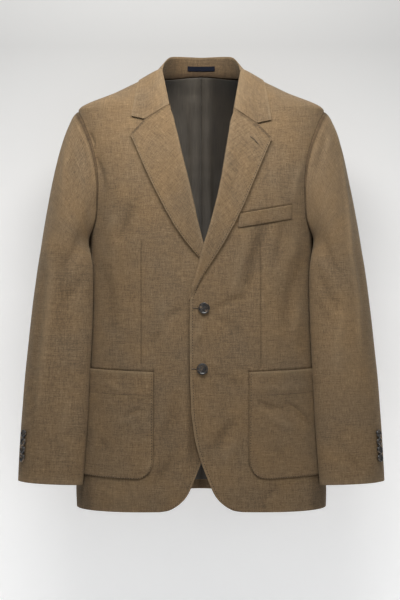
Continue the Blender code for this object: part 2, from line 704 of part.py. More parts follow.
def main():
    for obj in list(bpy.data.objects):
        bpy.data.objects.remove(obj)
    jacket = bpy.data.collections.new("linen_jacket")
    bpy.context.scene.collection.children.link(jacket)
    for label, side in (("left", 1), ("right", -1)):
        over = side > 0
        make_front("front_" + label, label, side, over, jacket)
        make_back("back_" + label, side, jacket)
        make_lining("lining_" + label, side, jacket)
        make_lapel("lapel_" + label, label, side, over, jacket)
        make_sleeve("sleeve_" + label, side, jacket)
        lying("pocket_" + label, pocket_grid(), PATCH_LIFT, LIGHT, side, over, jacket)
        make_cuff_buttons(label, side, jacket)
    lying("chest_welt", welt_grid(), PATCH_LIFT, LIGHT, 1, True, jacket)
    make_collar(jacket)
    make_label(jacket)
    make_front_buttons(jacket)


main()
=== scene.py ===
"""The linen jacket dressed for its picture: cloth, lining, buttons and stitching over the frame.

Every cloth piece follows the same cut as the part, with finer cells and its creases set one by one.
Lengths are in millimetres and are turned into metres when a grid becomes a mesh.
"""

import functools
import math

import bmesh
import bpy
import numpy as np
from mathutils import Matrix, Vector


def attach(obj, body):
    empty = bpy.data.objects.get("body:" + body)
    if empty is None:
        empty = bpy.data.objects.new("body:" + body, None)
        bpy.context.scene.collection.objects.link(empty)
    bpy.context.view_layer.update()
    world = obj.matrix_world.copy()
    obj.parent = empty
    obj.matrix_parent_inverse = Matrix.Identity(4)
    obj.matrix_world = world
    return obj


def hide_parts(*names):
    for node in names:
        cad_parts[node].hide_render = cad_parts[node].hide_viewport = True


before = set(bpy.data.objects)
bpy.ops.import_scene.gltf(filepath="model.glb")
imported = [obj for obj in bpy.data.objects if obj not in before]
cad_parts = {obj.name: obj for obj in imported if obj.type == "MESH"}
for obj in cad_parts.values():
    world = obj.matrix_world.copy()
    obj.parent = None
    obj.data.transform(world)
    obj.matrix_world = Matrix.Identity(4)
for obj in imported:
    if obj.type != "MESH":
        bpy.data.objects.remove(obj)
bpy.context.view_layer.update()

MM = 0.001
SIDES = (("left", 1), ("right", -1))

# Cloth walls, and the gaps and tucks between pieces
SHELL = 1.6  # linen with its canvas
LIGHT = 1.2  # pockets and welt
SLEEVE_WALL = 1.4
LINING = 1.0
LABEL_WALL = 0.5
SEAM_GAP = 0.8
PANEL_GAP = SEAM_GAP / 4
RIDGE_GAP = 0.24  # where the shoulder seam bends over the ridge
TUCK = 2.6  # how far one panel runs on under the next at a seam
TUCK_DEPTH = 1.9

# The body: level sections, each a superellipse with its own front and back depth
SQUARENESS = 2.4
SIDE_SEAM_ANGLE = 98.0  # degrees round from the centre front
SHOULDER_HEIGHT = -67.2
NECK_HALF_WIDTH = 82.0
BACK_NECK_RISE = 9.5
HEM_SIDE = -772.0
HEM_BACK = -756.0
HEM_SAG = 2.0
BODY = {
    "height": (-790, -742, -700, -600, -500, -450, -400, -350, -296, -263, -224, -201, -173,
               -142, -97, SHOULDER_HEIGHT, -33, 0, 12),
    "half_width": (223, 224, 220, 211, 204, 201, 199, 199, 200, 202, 206, 208.5, 212,
                   216, 219.8, 219.8, 150, NECK_HALF_WIDTH, 58),
    "front_depth": (104, 107, 109, 111, 112, 112, 112, 113, 114, 113.5, 111.5, 109, 104.5,
                    97.5, 85, 75, 59, 42, 36),
    "back_depth": (103, 104, 105, 106, 104, 101, 99, 102, 110, 115, 119, 120, 120,
                   118, 112, 106, 95, 80, 75),
}

# Seams and edges of the body, as angle and height
ARMHOLE_FRONT = (
    (90, 78, 67.3, 58.7, 57.1, 57.5, 59.3, 63.9, 72, 84, SIDE_SEAM_ANGLE),
    (SHOULDER_HEIGHT, -76, -97, -142, -173, -201, -224, -263, -284, -294, -296),
)
ARMHOLE_BACK = (
    (SIDE_SEAM_ANGLE, 110, 118, 122, 122, 119.5, 111, 100, 90),
    (-296, -285, -262, -224, -180, -142, -95, -76, SHOULDER_HEIGHT),
)
SIDE_SEAM = ((SIDE_SEAM_ANGLE,) * 4, (HEM_SIDE, -600, -420, -296))
SHOULDER = (np.full(6, 90.0), np.linspace(0, SHOULDER_HEIGHT, 6))
BACK_NECK = ((180, 160, 138, 115, 90), (BACK_NECK_RISE, 8.5, 6.5, 3.5, 0))
BACK_CENTRE = ((180.0,) * 4, (HEM_BACK, -520, -250, BACK_NECK_RISE))
BACK_HEM = (np.linspace(180, SIDE_SEAM_ANGLE, 6), np.linspace(HEM_BACK, HEM_SIDE, 6))

# Edges of the front, as distance from the centre line and height
HEM_CURVE = (
    (72, 58, 43, 25, 10, 0, -11, -17),
    (-772, -769.8, -762.5, -745, -712, -686, -645, -603),
)
FRONT_EDGE = ((-17, -19.3, -20, -19.3), (-603, -540, -460, -405))
ROLL_LINE = {
    "left": (
        (-19.3, -14.5, -3.5, 4.8, 19, 36.6, 48, 57.5),
        (-405, -392, -354, -322, -276, -205, -138, -80),
    ),
    "right": (
        (-19.3, -16.5, -11, -3.6, 8, 20.5, 36, 55),
        (-405, -385, -350, -321, -278, -221, -157, -76),
    ),
}
NECK_EDGE = ((64, 74, NECK_HALF_WIDTH), (-55, -26, 0))
OVERLAP_LIFT = 2.3  # the left front lies over the right front near the centre
OVERLAP_REACH = 75.0
OVER_SHARE, UNDER_SHARE = 0.45, -0.55

# Lapels: the outer edge from its foot up to the peak, then the notch and the end of the gorge
LAPEL_EDGE = {
    "left": ((-12, 0.5, 35.8, 66.4, 93, 121.6), (-392, -367.6, -311, -254, -192, -125)),
    "right": ((9.5, 38.2, 83, 122), (-341, -288, -206, -118)),
}
LAPEL_PEAK = {"left": (121.6, -125.0), "right": (122.0, -118.0)}
NOTCH = {"left": (96.8, -99.5), "right": (98.0, -92.0)}
GORGE_END = {"left": (57.5, -73.0), "right": (55.5, -66.0)}
LAPEL_FOOT = {"left": -404.0, "right": -346.0}  # where each lapel's turn runs out
LAPEL_TURN = {"left": 0.35, "right": 0.35}  # how the weave leans on the turned cloth
LAPEL_LIFT = 3.0
LAPEL_ROLL = 5.0
LAPEL_ROLL_REACH = 26.0  # how far the roll's fullness runs over the lapel
# The turn of a lapel: how far across from the front's edge, and the share of the lift
LAPEL_FOLD = ((-1.2, 0.1), (-3.0, 0.35), (-2.2, 0.9))
FOLD_TAPER = 26.0  # how far down the roll grows to its full width, below the gorge
FOOT_SINK = 2.9  # how far the foot of a lapel goes down into the front's edge
FOOT_RUN = 34.0
LAPEL_CURL = 0.9

# Collar: the fold (x, y, z) and the outer edge, from the centre back to the front
COLLAR_STEPS = 22
COLLAR_FOLD = (
    (0, 30, 53, 66.5, 68, 67.5, 65, 61.7, 58.3),
    (71, 66, 46, 14, -10, -37.4, -51.3, -64, -76.6),
    (42.7, 43.5, 40.5, 21, 8, -4, -20, -40.8, -65.8),
)
COLLAR_EDGE_BACK = ((180, 150, 118, 90), (-9, -12, -15, -12.8))
COLLAR_EDGE_FRONT = ((108, 111, 114, 118), (-12.8, -22, -40, -66))
COLLAR_LIFT = 4.6
COLLAR_EDGE_LIFT = 2.6
COLLAR_POINT = {"left": (122.0, -92.0), "right": (121.4, -85.0)}
STAND_DROP = 1.0  # how far the stand reaches down inside the neck seam
STAND_CLEAR = 3.0
STAND_INSET = (0.0, 6.0, 5.4, 3.2)  # how far the stand runs inside the neck edge, shoulder to lapel
STAND_END_ROWS = 5
STAND_END_LIFT = 0.9

# Sleeves: level rings below the armhole
SLEEVE = {
    "height": (-330, -366, -398, -441, -474, -506, -549, -592, -635, -678, -727),
    "outer": (288.5, 294, 298, 303, 306.5, 309.5, 313.5, 316.5, 319.5, 322, 324),
    "inner": (202.5, 202.5, 203, 204, 205.5, 207, 209, 211, 214, 217.5, 222),
    "centre": (-10, -12, -14, -17, -19, -21.5, -25, -28, -31, -34, -37),
    "half_depth": (66, 63, 60, 57, 55.5, 54, 51, 48.5, 46, 43, 40),
}
SLEEVE_SQUARENESS = 2.15
CUFF_TILT = 7.0  # how much higher the cuff's outer side is than its inner side
SLEEVE_NEST = 21.0  # how far the sleeve's inner side wraps towards the body
SLEEVE_CLEAR = 2.2
POCKET_CLEAR = 3.2
SLEEVE_MAP_RADIUS = 48  # of the tube that the sleeve's cloth map is wrapped on

# Lining
LINING_CLEAR = 4.6
LINING_INSET = 3.0
LINING_PROUD = 0.6
LINING_SHOULDER_DROP = 26.0
LINING_OVERLAP_LIFT = 1.3

# Patch pockets and the breast welt
PATCH_LIFT = 0.9
POCKET_TOP = -530.0
POCKET_HEIGHT = 186.0
POCKET_WIDTH = 166.0
POCKET_ROUND = 34.0
POCKET_INNER = 83.0
POCKET_SLOPE = 5.0
WELT = {"inner": 64.0, "length": 98.0, "height": 24.0, "top": -257.0, "rise": 17.0}
POCKET_CUT = (POCKET_TOP - POCKET_HEIGHT - 0.6) * MM
MOUTH_DROP = 33  # from the pocket's mouth down to its stitching

# How finely the panels are cut into cells, and how much finer than the part each piece is
SEAM_CELLS = 9
ARMHOLE_CELLS = 12
SHOULDER_CELLS = 10
SLEEVE_CELLS = 2 * ARMHOLE_CELLS
NECK_CELLS = 6
BODY_FINE, BACK_FINE, SLEEVE_FINE = 11, 8, 7
COLLAR_FINE, LAPEL_FINE, POCKET_FINE, LINING_FINE = 6, 7, 5, 5

# Buttons and the label
FRONT_BUTTON = 20.0
CUFF_BUTTON = 14.4
BUTTON_THICK = 3.4
BUTTON_PROFILE = (  # radius and height, as shares of the button's own
    (0.70, 0.0), (0.88, 0.10), (0.97, 0.32), (1.0, 0.52), (0.985, 0.74), (0.94, 0.92), (0.88, 0.99),
    (0.81, 0.96), (0.75, 0.80), (0.70, 0.64), (0.60, 0.56), (0.36, 0.55), (0.12, 0.57),
)
HOLE_PROFILE = ((1.25, -1), (1, 0.5), (1, 0.58), (1.7, 0.72))
FRONT_BUTTONS = {"upper": (5.0, -419.5), "lower": (2.0, -524.0)}  # across and height
CUFF_BUTTON_TOP = -640.0
CUFF_BUTTON_STEP = 14.2
CUFF_BUTTON_CELL = 2  # cells round the sleeve from its outer side towards the front
LABEL = {"half_width": 25.0, "bottom": 15.0, "top": 24.0, "clear": 0.95}

# The photograph's camera, in millimetres and pixels
CAMERA_BACK = -2712.0
CAMERA_HEIGHT = -405.4
FRONT_PLANE = -107.0
FOCAL_PIXELS = 2600
PIXEL = 1.72 / FOCAL_PIXELS
AXIS_PIXEL = 201.2
MIDDLE_PIXEL = 300.0

# Creases, and the painted shade and wear of the cloth
CREASE_DEPTH = 2.1
CREASE_PAINTED_SHADE = 0.055  # painted shade: how much a hollow of one millimetre darkens the cloth, and a ridge of one millimetre makes it paler
MOST_BACK_HOLLOW = 2.6  # deeper, the back would reach its lining
UNEVEN_WAVES = (  # across, up, phase, share
    (0.021, 0.008, 0.7, 0.45), (0.047, -0.013, 2.1, 0.28), (0.011, 0.031, 4.0, 0.30),
    (0.083, 0.022, 1.3, 0.13), (-0.036, 0.055, 5.2, 0.12), (0.12, -0.06, 0.2, 0.06),
)
# Painted shade along a grid's edges, at seams and where other pieces meet or cover it: the edge, how
# much darker it is, its place in cells from it, its width.
# The bottom is row 0 and the left column 0. Less than nothing is worn paler.
PAINTED_EDGE_SHADE_AND_WEAR = {
    "front": (
        ("right", 0.85, 0.6, 1.5), ("top", 0.45, 0.4, 1.3),
        ("bottom", -0.22, 0, 1.2), ("left", -0.2, 0, 1.4),
    ),
    "back": (
        ("right", 0.7, 1, 0.9), ("left", 0.5, 0.3, 0.6),
        ("top", 0.4, 1, 1.3), ("bottom", -0.22, 0, 1.2),
    ),
    "lining": (("left", 0.55, 0, 1.2),),
    "lapel": (
        ("right", -0.28, 0, 1.5), ("left", -0.16, 2 * LAPEL_FINE, LAPEL_FINE),
        ("top", 0.5, 0, 1.2),
    ),
    "collar": (
        ("right", -0.28, 0, 1.4), ("left", -0.16, 3.4 * COLLAR_FINE, COLLAR_FINE),
        ("left", 0.4, 0, 4),
    ),
    "sleeve": (("bottom", 0.8, 1.6, 1.3), ("top", -0.25, 0, 1.1)),
    "pocket": (("top", -0.25, 0, 1.0),),
}


def steady(knots, values, at):
    """Values read between knots by a cubic that never overshoots them."""
    knots = np.asarray(knots, float)
    values = np.asarray(values, float)
    at = np.clip(np.asarray(at, float), knots[0], knots[-1])
    run = np.diff(knots)
    slope = np.diff(values) / run
    tangent = np.zeros(len(knots))
    tangent[0] = slope[0]
    tangent[-1] = slope[-1]
    for i in range(1, len(knots) - 1):
        if slope[i - 1] * slope[i] > 0:
            before = 2 * run[i] + run[i - 1]
            after = run[i] + 2 * run[i - 1]
            tangent[i] = (before + after) / (before / slope[i - 1] + after / slope[i])
    i = np.clip(np.searchsorted(knots, at, side="right") - 1, 0, len(run) - 1)
    f = (at - knots[i]) / run[i]
    return (
        values[i] * (1 + 2 * f) * (1 - f) ** 2
        + run[i] * tangent[i] * f * (1 - f) ** 2
        + values[i + 1] * f**2 * (3 - 2 * f)
        + run[i] * tangent[i + 1] * f**2 * (f - 1)
    )


def unit(vectors):
    return vectors / np.maximum(np.linalg.norm(vectors, axis=-1, keepdims=True), 1e-9)


def run_of(points):
    """Distance along a path of points, or the mean distance along a grid's first axis."""
    steps = np.linalg.norm(np.diff(points, axis=0), axis=-1)
    return np.concatenate([[0], np.cumsum(steps if steps.ndim == 1 else steps.mean(axis=1))])


def read_along(points, along, places):
    return np.stack([np.interp(places, along, column) for column in points.T], axis=1)


def flowing(columns, count):
    """A smooth curve through a table's rows, as count + 1 points evenly spaced along it."""
    rows = np.array(columns, float).T
    knots = run_of(rows)
    fine = np.linspace(0, knots[-1], 40 * len(rows))
    points = np.stack([steady(knots, column, fine) for column in rows.T], axis=1)
    along = run_of(points)
    return read_along(points, along, np.linspace(0, along[-1], count + 1))


def chain(*stretches):
    """Stretches, each a table and its number of cells, joined end to end with a corner between."""
    parts = [flowing(columns, count) for columns, count in stretches]
    return np.concatenate([parts[0]] + [part[1:] for part in parts[1:]])


def backward(table):
    return [column[::-1] for column in table]


def power(value, exponent):
    return np.sign(value) * np.abs(value) ** exponent


def section(height):
    """Half width, front depth and back depth of the body at a height."""
    heights, *columns = BODY.values()
    return [steady(heights, column, height) for column in columns]


def skin(angle, height):
    """Points of the body's outer surface. Angle 0 is the centre front, 90 the side, 180 the back."""
    turn = np.radians(np.asarray(angle, float))
    half_width, front, back = section(height)
    depth = np.where(np.cos(turn) > 0, front, back)
    x = half_width * power(np.sin(turn), 2 / SQUARENESS)
    y = -depth * power(np.cos(turn), 2 / SQUARENESS)
    return np.stack([x, y, np.broadcast_to(height, x.shape)], axis=-1)


def body(angle, height, out=0.0):
    """Points of the body's surface moved out along its normal."""
    angle, height = np.asarray(angle, float), np.asarray(height, float)
    d_angle, d_height = 0.6, 0.8
    round_it = skin(angle + d_angle, height) - skin(angle - d_angle, height)
    up = skin(angle, height + d_height) - skin(angle, height - d_height)
    return skin(angle, height) + unit(np.cross(round_it, up)) * np.asarray(out, float)[..., None]


def surface_at(points):
    """The body's surface by given points, and its outward normal there."""
    height = np.minimum(points[..., 2], BODY["height"][-1])
    half_width, front, back = section(height)
    ahead = points[..., 1] < 0
    across = (np.abs(points[..., 0]) / half_width) ** (SQUARENESS / 2)
    along = (np.abs(points[..., 1]) / np.where(ahead, front, back)) ** (SQUARENESS / 2)
    turn = np.degrees(np.arctan2(across, along))
    turn = np.where(ahead, turn, 180 - turn)
    base = body(turn, height)
    return base, body(turn, height, 1.0) - base


def pushed_clear(points, lift):
    """Points moved out, where they need it, until they stand lift above the body's surface."""
    points = points.copy()
    for _ in range(4):
        base, normal = surface_at(points)
        clear = np.sum((points - base) * normal, axis=-1)
        push = np.clip(lift - clear, 0, None) * (points[..., 2] < 4)
        points += normal * push[..., None]
    return points


HEIGHTS = np.linspace(-800, 12, 407)
ANGLES = np.linspace(-40, 220, 521)
REACHES = np.linspace(-200, 640, 841)


def girth_table():
    ring = skin(ANGLES[None, :], HEIGHTS[:, None] + 0 * ANGLES[None, :])
    steps = np.linalg.norm(np.diff(ring, axis=1), axis=2)
    along = np.concatenate([np.zeros((len(HEIGHTS), 1)), np.cumsum(steps, axis=1)], axis=1)
    start = np.array([np.interp(0, ANGLES, row) for row in along])
    return along - start[:, None]


GIRTHS = girth_table()
TURNS = np.array([np.interp(REACHES, row, ANGLES) for row in GIRTHS])


def looked_up(table, columns, value, height):
    """A table over HEIGHTS and columns, read between its entries."""
    row = (np.clip(height, HEIGHTS[0], HEIGHTS[-1]) - HEIGHTS[0]) / (HEIGHTS[1] - HEIGHTS[0])
    column = (np.clip(value, columns[0], columns[-1]) - columns[0]) / (columns[1] - columns[0])
    r = np.clip(row.astype(int), 0, len(HEIGHTS) - 2)
    c = np.clip(column.astype(int), 0, len(columns) - 2)
    fr, fc = row - r, column - c
    low = table[r, c] * (1 - fc) + table[r, c + 1] * fc
    high = table[r + 1, c] * (1 - fc) + table[r + 1, c + 1] * fc
    return low * (1 - fr) + high * fr


def wrapped_at(angle, height):
    """Distance round from the centre front, for an angle and a height."""
    return looked_up(GIRTHS, ANGLES, np.asarray(angle, float), np.asarray(height, float))


def half_girth(height):
    return wrapped_at(np.full(np.shape(height), 180.0), height)


def spot_of(flat, from_back=False):
    """Angle and height of flat points, measured round from the centre front or the centre back."""
    around, height = flat[..., 0], flat[..., 1]
    around = half_girth(height) - around if from_back else around
    return looked_up(TURNS, REACHES, around, height), height


def angle_at(across, height):
    """Angle on the front of the body, for a distance from the centre line and a height."""
    share = np.clip(np.asarray(across, float) / section(height)[0], -1, 1)
    return np.degrees(np.arcsin(power(share, SQUARENESS / 2)))


def patch(bottom, right, top, left):
    """A four-sided grid of flat points blended from its edges (rows run from bottom to top)."""
    u = np.linspace(0, 1, len(bottom))[None, :, None]
    v = np.linspace(0, 1, len(left))[:, None, None]
    edges = (1 - v) * bottom[None] + v * top[None] + (1 - u) * left[:, None] + u * right[:, None]
    corners = (
        (1 - u) * (1 - v) * bottom[0]
        + u * (1 - v) * bottom[-1]
        + (1 - u) * v * top[0]
        + u * v * top[-1]
    )
    return edges - corners


def unrolled(points, by_angle=True, from_back=False):
    """Flat points, around and height, from across and height or from angle and height."""
    height = points[:, 1]
    angle = points[:, 0] if by_angle else angle_at(points[:, 0], height)
    around = wrapped_at(angle, height)
    return np.stack([half_girth(height) - around if from_back else around, height], axis=1)


def shrunk(grid, gap, top_gap=None):
    """A grid of flat points drawn in by half a seam gap along all four edges."""
    grid = grid.copy()
    for edge, inner in ((np.s_[0], np.s_[1]), (np.s_[-1], np.s_[-2])):
        grid[edge] += unit(grid[inner] - grid[edge]) * (top_gap if top_gap and edge == -1 else gap)
        grid[:, edge] += unit(grid[:, inner] - grid[:, edge]) * gap
    return grid


def resampled(points, factor):
    """Each row of points as a smooth curve through them, factor times finer."""
    before = np.concatenate([2 * points[:, :1] - points[:, 1:2], points[:, :-1]], axis=1)
    after = np.concatenate([points[:, 1:], 2 * points[:, -1:] - points[:, -2:-1]], axis=1)
    beyond = np.concatenate([after[:, 1:], 2 * after[:, -1:] - after[:, -2:-1]], axis=1)
    f = (np.arange(factor) / factor)[None, None, :, None]
    p0, p1, p2, p3 = [p[:, :-1, None] for p in (before, points, after, beyond)]
    fine = 0.5 * (
        2 * p1 + (p2 - p0) * f + (2 * p0 - 5 * p1 + 4 * p2 - p3) * f**2
        + (3 * p1 - p0 - 3 * p2 + p3) * f**3
    )
    fine = fine.reshape(len(points), -1, points.shape[-1])
    return np.concatenate([fine, points[:, -1:]], axis=1)


def softened(points, times, axis=1):
    """Points drawn towards their neighbours along one axis, with the ends kept."""
    points = np.moveaxis(points.copy(), axis, 0)
    for _ in range(times):
        points[1:-1] += 0.5 * ((points[:-2] + points[2:]) / 2 - points[1:-1])
    return np.moveaxis(points, 0, axis)


def normals_of(points, closed=False):
    """Unit normals of a grid, outward for rows that run up and columns that run to +X in front."""
    if closed:
        around = np.roll(points[:, :-1], -1, axis=1) - np.roll(points[:, :-1], 1, axis=1)
        around = np.concatenate([around, around[:, :1]], axis=1)
    else:
        around = np.gradient(points, axis=1)
    return unit(np.cross(around, np.gradient(points, axis=0)))


def from_pixels(path):
    """A path of photograph pixels as across and height on the jacket's front."""
    scale = PIXEL * (FRONT_PLANE - CAMERA_BACK)
    return [((x - AXIS_PIXEL) * scale, CAMERA_HEIGHT + (MIDDLE_PIXEL - y) * scale) for x, y in path]


def crease(flat, path, width, depth):
    """A soft ridge (or trough, where depth is negative) along a path, fading at both ends."""
    path = np.array(path, float)
    lengths = np.linalg.norm(np.diff(path, axis=0), axis=1)
    done = np.concatenate([[0], np.cumsum(lengths)]) / lengths.sum()
    nearest = np.full(flat.shape[:-1], 1e9)
    share = np.zeros(flat.shape[:-1])
    for i, length in enumerate(lengths):
        along = (path[i + 1] - path[i]) / length
        reach = np.clip((flat - path[i]) @ along, 0, length)
        away = np.linalg.norm(flat - path[i] - reach[..., None] * along, axis=-1)
        closer = away < nearest
        nearest = np.where(closer, away, nearest)
        share = np.where(closer, done[i] + reach / length * (done[i + 1] - done[i]), share)
    fade = np.clip(4 * share * (1 - share), 0.05, 1) ** 0.6
    return depth * fade * np.exp(-((nearest / width) ** 2))


def uneven(x, z, seed, size=1.0):
    """The slight unevenness of hanging cloth, as a few long waves."""
    drift = 0.6 * np.sin(0.013 * z + seed)
    return size * sum(
        share * np.sin(across * x + up * z + phase + seed * 1.7 + drift)
        for across, up, phase, share in UNEVEN_WAVES
    )


def seen(rows):
    """Rows of creases with their paths taken from the photograph's pixels to across and height."""
    return [(*row[:2], *np.ravel(from_pixels(np.reshape(row[2:], (-1, 2))))) for row in rows]


# Creases, each its half width, its depth, and the places on its path, two numbers each
FRONT_CREASES = seen((
    (15, -2.6, 246, 296, 257, 252, 268, 218),
    (11, 1.1, 232, 300, 243, 262, 252, 232),
    (8, -1.3, 284, 221, 281, 244, 276, 268),
    (7, 0.9, 296, 236, 293, 262),
    (10, -1.7, 211, 455, 222, 438, 236, 421),
    (9, 1.0, 222, 462, 236, 444),
    (5, 1.0, 193, 345, 202, 326),
    (6, -1.2, 212, 312, 228, 302, 247, 296),
    (6, -0.9, 211, 316, 226, 322, 243, 334),
    (6, -1.0, 210, 373, 226, 378, 242, 388),
    (4.5, -1.7, 321, 138, 314, 152, 310, 170),
    (3.5, -1.1, 314, 146, 309, 158),
    (6, 0.9, 304, 160, 298, 178, 296, 200),
    (13, -1.6, 303, 255, 292, 290, 286, 330),
    (9, 1.0, 302, 300, 296, 340),
    (4, -1.2, 150, 345, 159, 335),
    (11, -1.9, 118, 242, 126, 220, 132, 203),
    (8, 0.9, 108, 236, 114, 214),
    (12, -1.5, 100, 262, 108, 298, 112, 338),
    (5, -1.1, 94, 155, 100, 170, 103, 190),
    (4, -1.0, 86, 128, 92, 142),
    (10, -1.6, 153, 487, 164, 472, 173, 455),
    (8, 1.0, 146, 474, 156, 458),
    (9, -1.0, 178, 398, 172, 422, 160, 446),
    (10, 0.9, 160, 300, 166, 330, 170, 352),
    (6, -0.9, 186, 306, 176, 312, 164, 322),
    (8, 0.8, 105, 492, 122, 502),
    (8, -1.0, 262, 500, 280, 488),
))
POCKET_CREASES = seen((
    (4, -1.3, 122, 417, 134, 413, 145, 409),
    (4, 0.7, 118, 424, 132, 421),
    (5, -1.5, 255, 402, 270, 408, 286, 411),
    (6, -1.6, 283, 402, 298, 413, 314, 429),
    (6, 1.0, 266, 416, 280, 422, 292, 432),
    (7, -0.9, 270, 448, 286, 462),
    (7, -0.9, 98, 440, 112, 456),
    (6, 0.7, 104, 384, 126, 394),
    (6, 0.6, 252, 386, 282, 390, 312, 386),
))
SLEEVE_CREASES = seen((
    (5, 1.9, 335, 112, 346, 150, 351, 200, 353, 252, 361, 300, 364, 360),
    (9, -1.3, 341, 132, 353, 172, 357, 222),
    (8, -1.6, 324, 236, 334, 262, 345, 280),
    (8, -1.4, 318, 268, 330, 296, 343, 312),
    (7, -1.0, 316, 300, 331, 322),
    (10, 1.0, 348, 300, 340, 340, 338, 382),
    (5, -1.4, 345, 455, 354, 464, 362, 473),
    (5, -0.9, 336, 440, 346, 452),
    (5, 0.8, 340, 466, 350, 478),
    (6, -1.4, 329, 132, 323, 150, 318, 172),
    (5, 0.9, 334, 128, 330, 148),
    (7, 1.7, 46, 236, 48, 276, 44, 322, 38, 376, 35, 424),
    (10, -1.3, 58, 250, 60, 300, 56, 350),
    (8, -1.5, 80, 232, 70, 256, 58, 272),
    (8, -1.3, 84, 272, 72, 292, 60, 306),
    (6, 1.3, 70, 118, 62, 150, 58, 196),
    (6, -1.3, 76, 132, 84, 152, 88, 176),
    (8, 0.9, 66, 400, 60, 440),
    (5, -1.1, 50, 462, 42, 474),
    (5, -0.8, 62, 446, 54, 458),
))
LAPEL_CREASES = seen((
    (4, -1.1, 150, 114, 160, 106, 168, 102),
    (4, 0.7, 150, 124, 163, 117),
    (7, -0.8, 172, 150, 166, 172, 170, 200),
    (4, -0.9, 246, 118, 238, 112),
    (8, -0.9, 240, 150, 236, 178, 226, 204),
    (6, 0.6, 252, 150, 246, 176),
))
COLLAR_CREASES = seen((
    (5, -0.8, 146, 88, 150, 100, 150, 116),
    (5, 0.6, 155, 84, 162, 100),
    (5, -0.8, 252, 84, 252, 100, 256, 114),
))
BACK_CREASES = (
    (15, -2.4, 150, -130, 120, -205, 96, -300),
    (13, 1.4, 118, -120, 88, -205, 70, -290),
    (10, -1.9, 178, -190, 160, -260, 148, -330),
    (8, -1.2, 62, -24, 84, -48, 112, -62),
    (9, -1.6, 22, -395, 64, -410, 108, -402),
    (10, -1.3, 34, -436, 86, -452, 140, -440),
    (16, 1.6, 70, -500, 86, -580, 92, -680),
    (15, -1.9, 120, -520, 134, -610, 136, -720),
    (13, -1.3, 30, -560, 38, -640, 36, -730),
    (15, -2.2, -146, -126, -112, -210, -84, -310),
    (12, 1.3, -110, -130, -82, -220, -66, -300),
    (10, -1.8, -176, -196, -156, -270, -140, -350),
    (9, -1.6, -28, -402, -72, -420, -120, -408),
    (8, -1.1, -60, -52, -96, -66, -120, -64),
    (16, 1.5, -62, -510, -80, -600, -84, -700),
    (15, -1.8, -116, -500, -128, -600, -138, -720),
    (13, -1.2, -26, -580, -34, -660, -30, -735),
)
BACK_SLEEVE_CREASES = (
    (10, -2.0, 236, -240, 262, -300, 290, -330),
    (10, -1.9, 232, -300, 258, -348, 292, -372),
    (9, -1.6, 236, -350, 262, -392, 296, -410),
    (11, 1.6, 246, -430, 250, -540, 262, -660),
    (10, -1.3, 284, -440, 290, -560, 296, -680),
    (8, -1.6, 222, -110, 228, -160, 236, -220),
    (6, -1.2, 266, -660, 286, -690),
    (10, -2.0, -238, -250, -266, -306, -292, -322),
    (10, -1.8, -234, -316, -258, -360, -296, -384),
    (8, -1.4, -244, -370, -268, -404),
    (11, 1.6, -248, -420, -256, -540, -268, -650),
    (10, -1.4, -286, -430, -294, -560, -300, -670),
    (8, -1.5, -220, -116, -230, -170, -240, -226),
)
LINING_CREASES = (
    (3.0, 1.6, 2, 8, 1, -180, 0, -420, 0, -730),
    (14, -2.2, -36, -20, -34, -160, -40, -320, -44, -700),
    (9, 1.4, -16, -20, -15, -200, -18, -500),
    (12, -2.2, 30, -10, 28, -140, 34, -300, 40, -700),
    (8, 1.2, 14, -60, 16, -240, 20, -600),
    (14, 1.6, 60, -30, 62, -180, 66, -520),
    (14, 1.5, -66, -40, -64, -200, -72, -560),
    (5, -1.2, -50, -18, -28, -26, 20, -22),
    (15, -1.8, 100, -90, 96, -300, 104, -640),
    (15, -1.8, -100, -90, -98, -300, -108, -640),
)


def field(points, side, creases, seed, size):
    """How far the cloth stands out at each point: creases as listed, and a slight unevenness."""
    flat = points[..., (0, 2)] * (side, 1)
    total = uneven(flat[..., 0], flat[..., 1], seed, size)
    for width, depth, *path in creases:
        total = total + CREASE_DEPTH * crease(flat, np.reshape(path, (-1, 2)), width, depth)
    return total


def eased(value):
    value = np.clip(value, 0, 1)
    return value * value * (3 - 2 * value)


def faded(count, cells, from_end=False):
    """Nothing at the first (or last) row of a grid and one from so many cells on."""
    index = np.arange(count)[::-1] if from_end else np.arange(count)
    return np.clip(index / cells, 0, 1)


def painted_edge_shade_and_wear(piece, points):
    """How much painted shade darkens a piece along its edges and seams, and how much wear pales its
    edges and folds.
    """
    tone = np.zeros(points.shape[:2])
    for edge, amount, place, width in PAINTED_EDGE_SHADE_AND_WEAR[piece]:
        level = edge in ("bottom", "top")
        index = np.arange(tone.shape[0 if level else 1])
        index = index[::-1] if edge in ("top", "right") else index
        line = amount * np.exp(-(((index - place) / width) ** 2))
        tone += line[:, None] if level else line
    return tone


# ---------------------------------------------------------------- meshes


def linked(name, data):
    """A new object in the scene."""
    obj = bpy.data.objects.new(name, data)
    bpy.context.scene.collection.objects.link(obj)
    return obj


def grid_mesh(name, points, uv, side, closed):
    rows, columns = points.shape[:2]
    index = np.arange(rows * columns).reshape(rows, columns)
    corners = np.stack([index[:-1, :-1], index[:-1, 1:], index[1:, 1:], index[1:, :-1]], axis=-1)
    corners = corners.reshape(-1, 4)[:, ::side]
    faces = corners
    if closed:
        keep = np.arange(rows * (columns - 1)).reshape(rows, columns - 1)
        faces = np.concatenate([keep, keep[:, :1]], axis=1).ravel()[corners]
        points = points[:, :-1]
    mesh = bpy.data.meshes.new(name)
    mesh.from_pydata((points.reshape(-1, 3) * (side, 1, 1) * MM).tolist(), [], faces.tolist())
    layer = mesh.uv_layers.new(name="cloth")
    layer.data.foreach_set("uv", (uv.reshape(-1, 2)[corners.ravel()] * MM).ravel())
    mesh.shade_smooth()
    return mesh


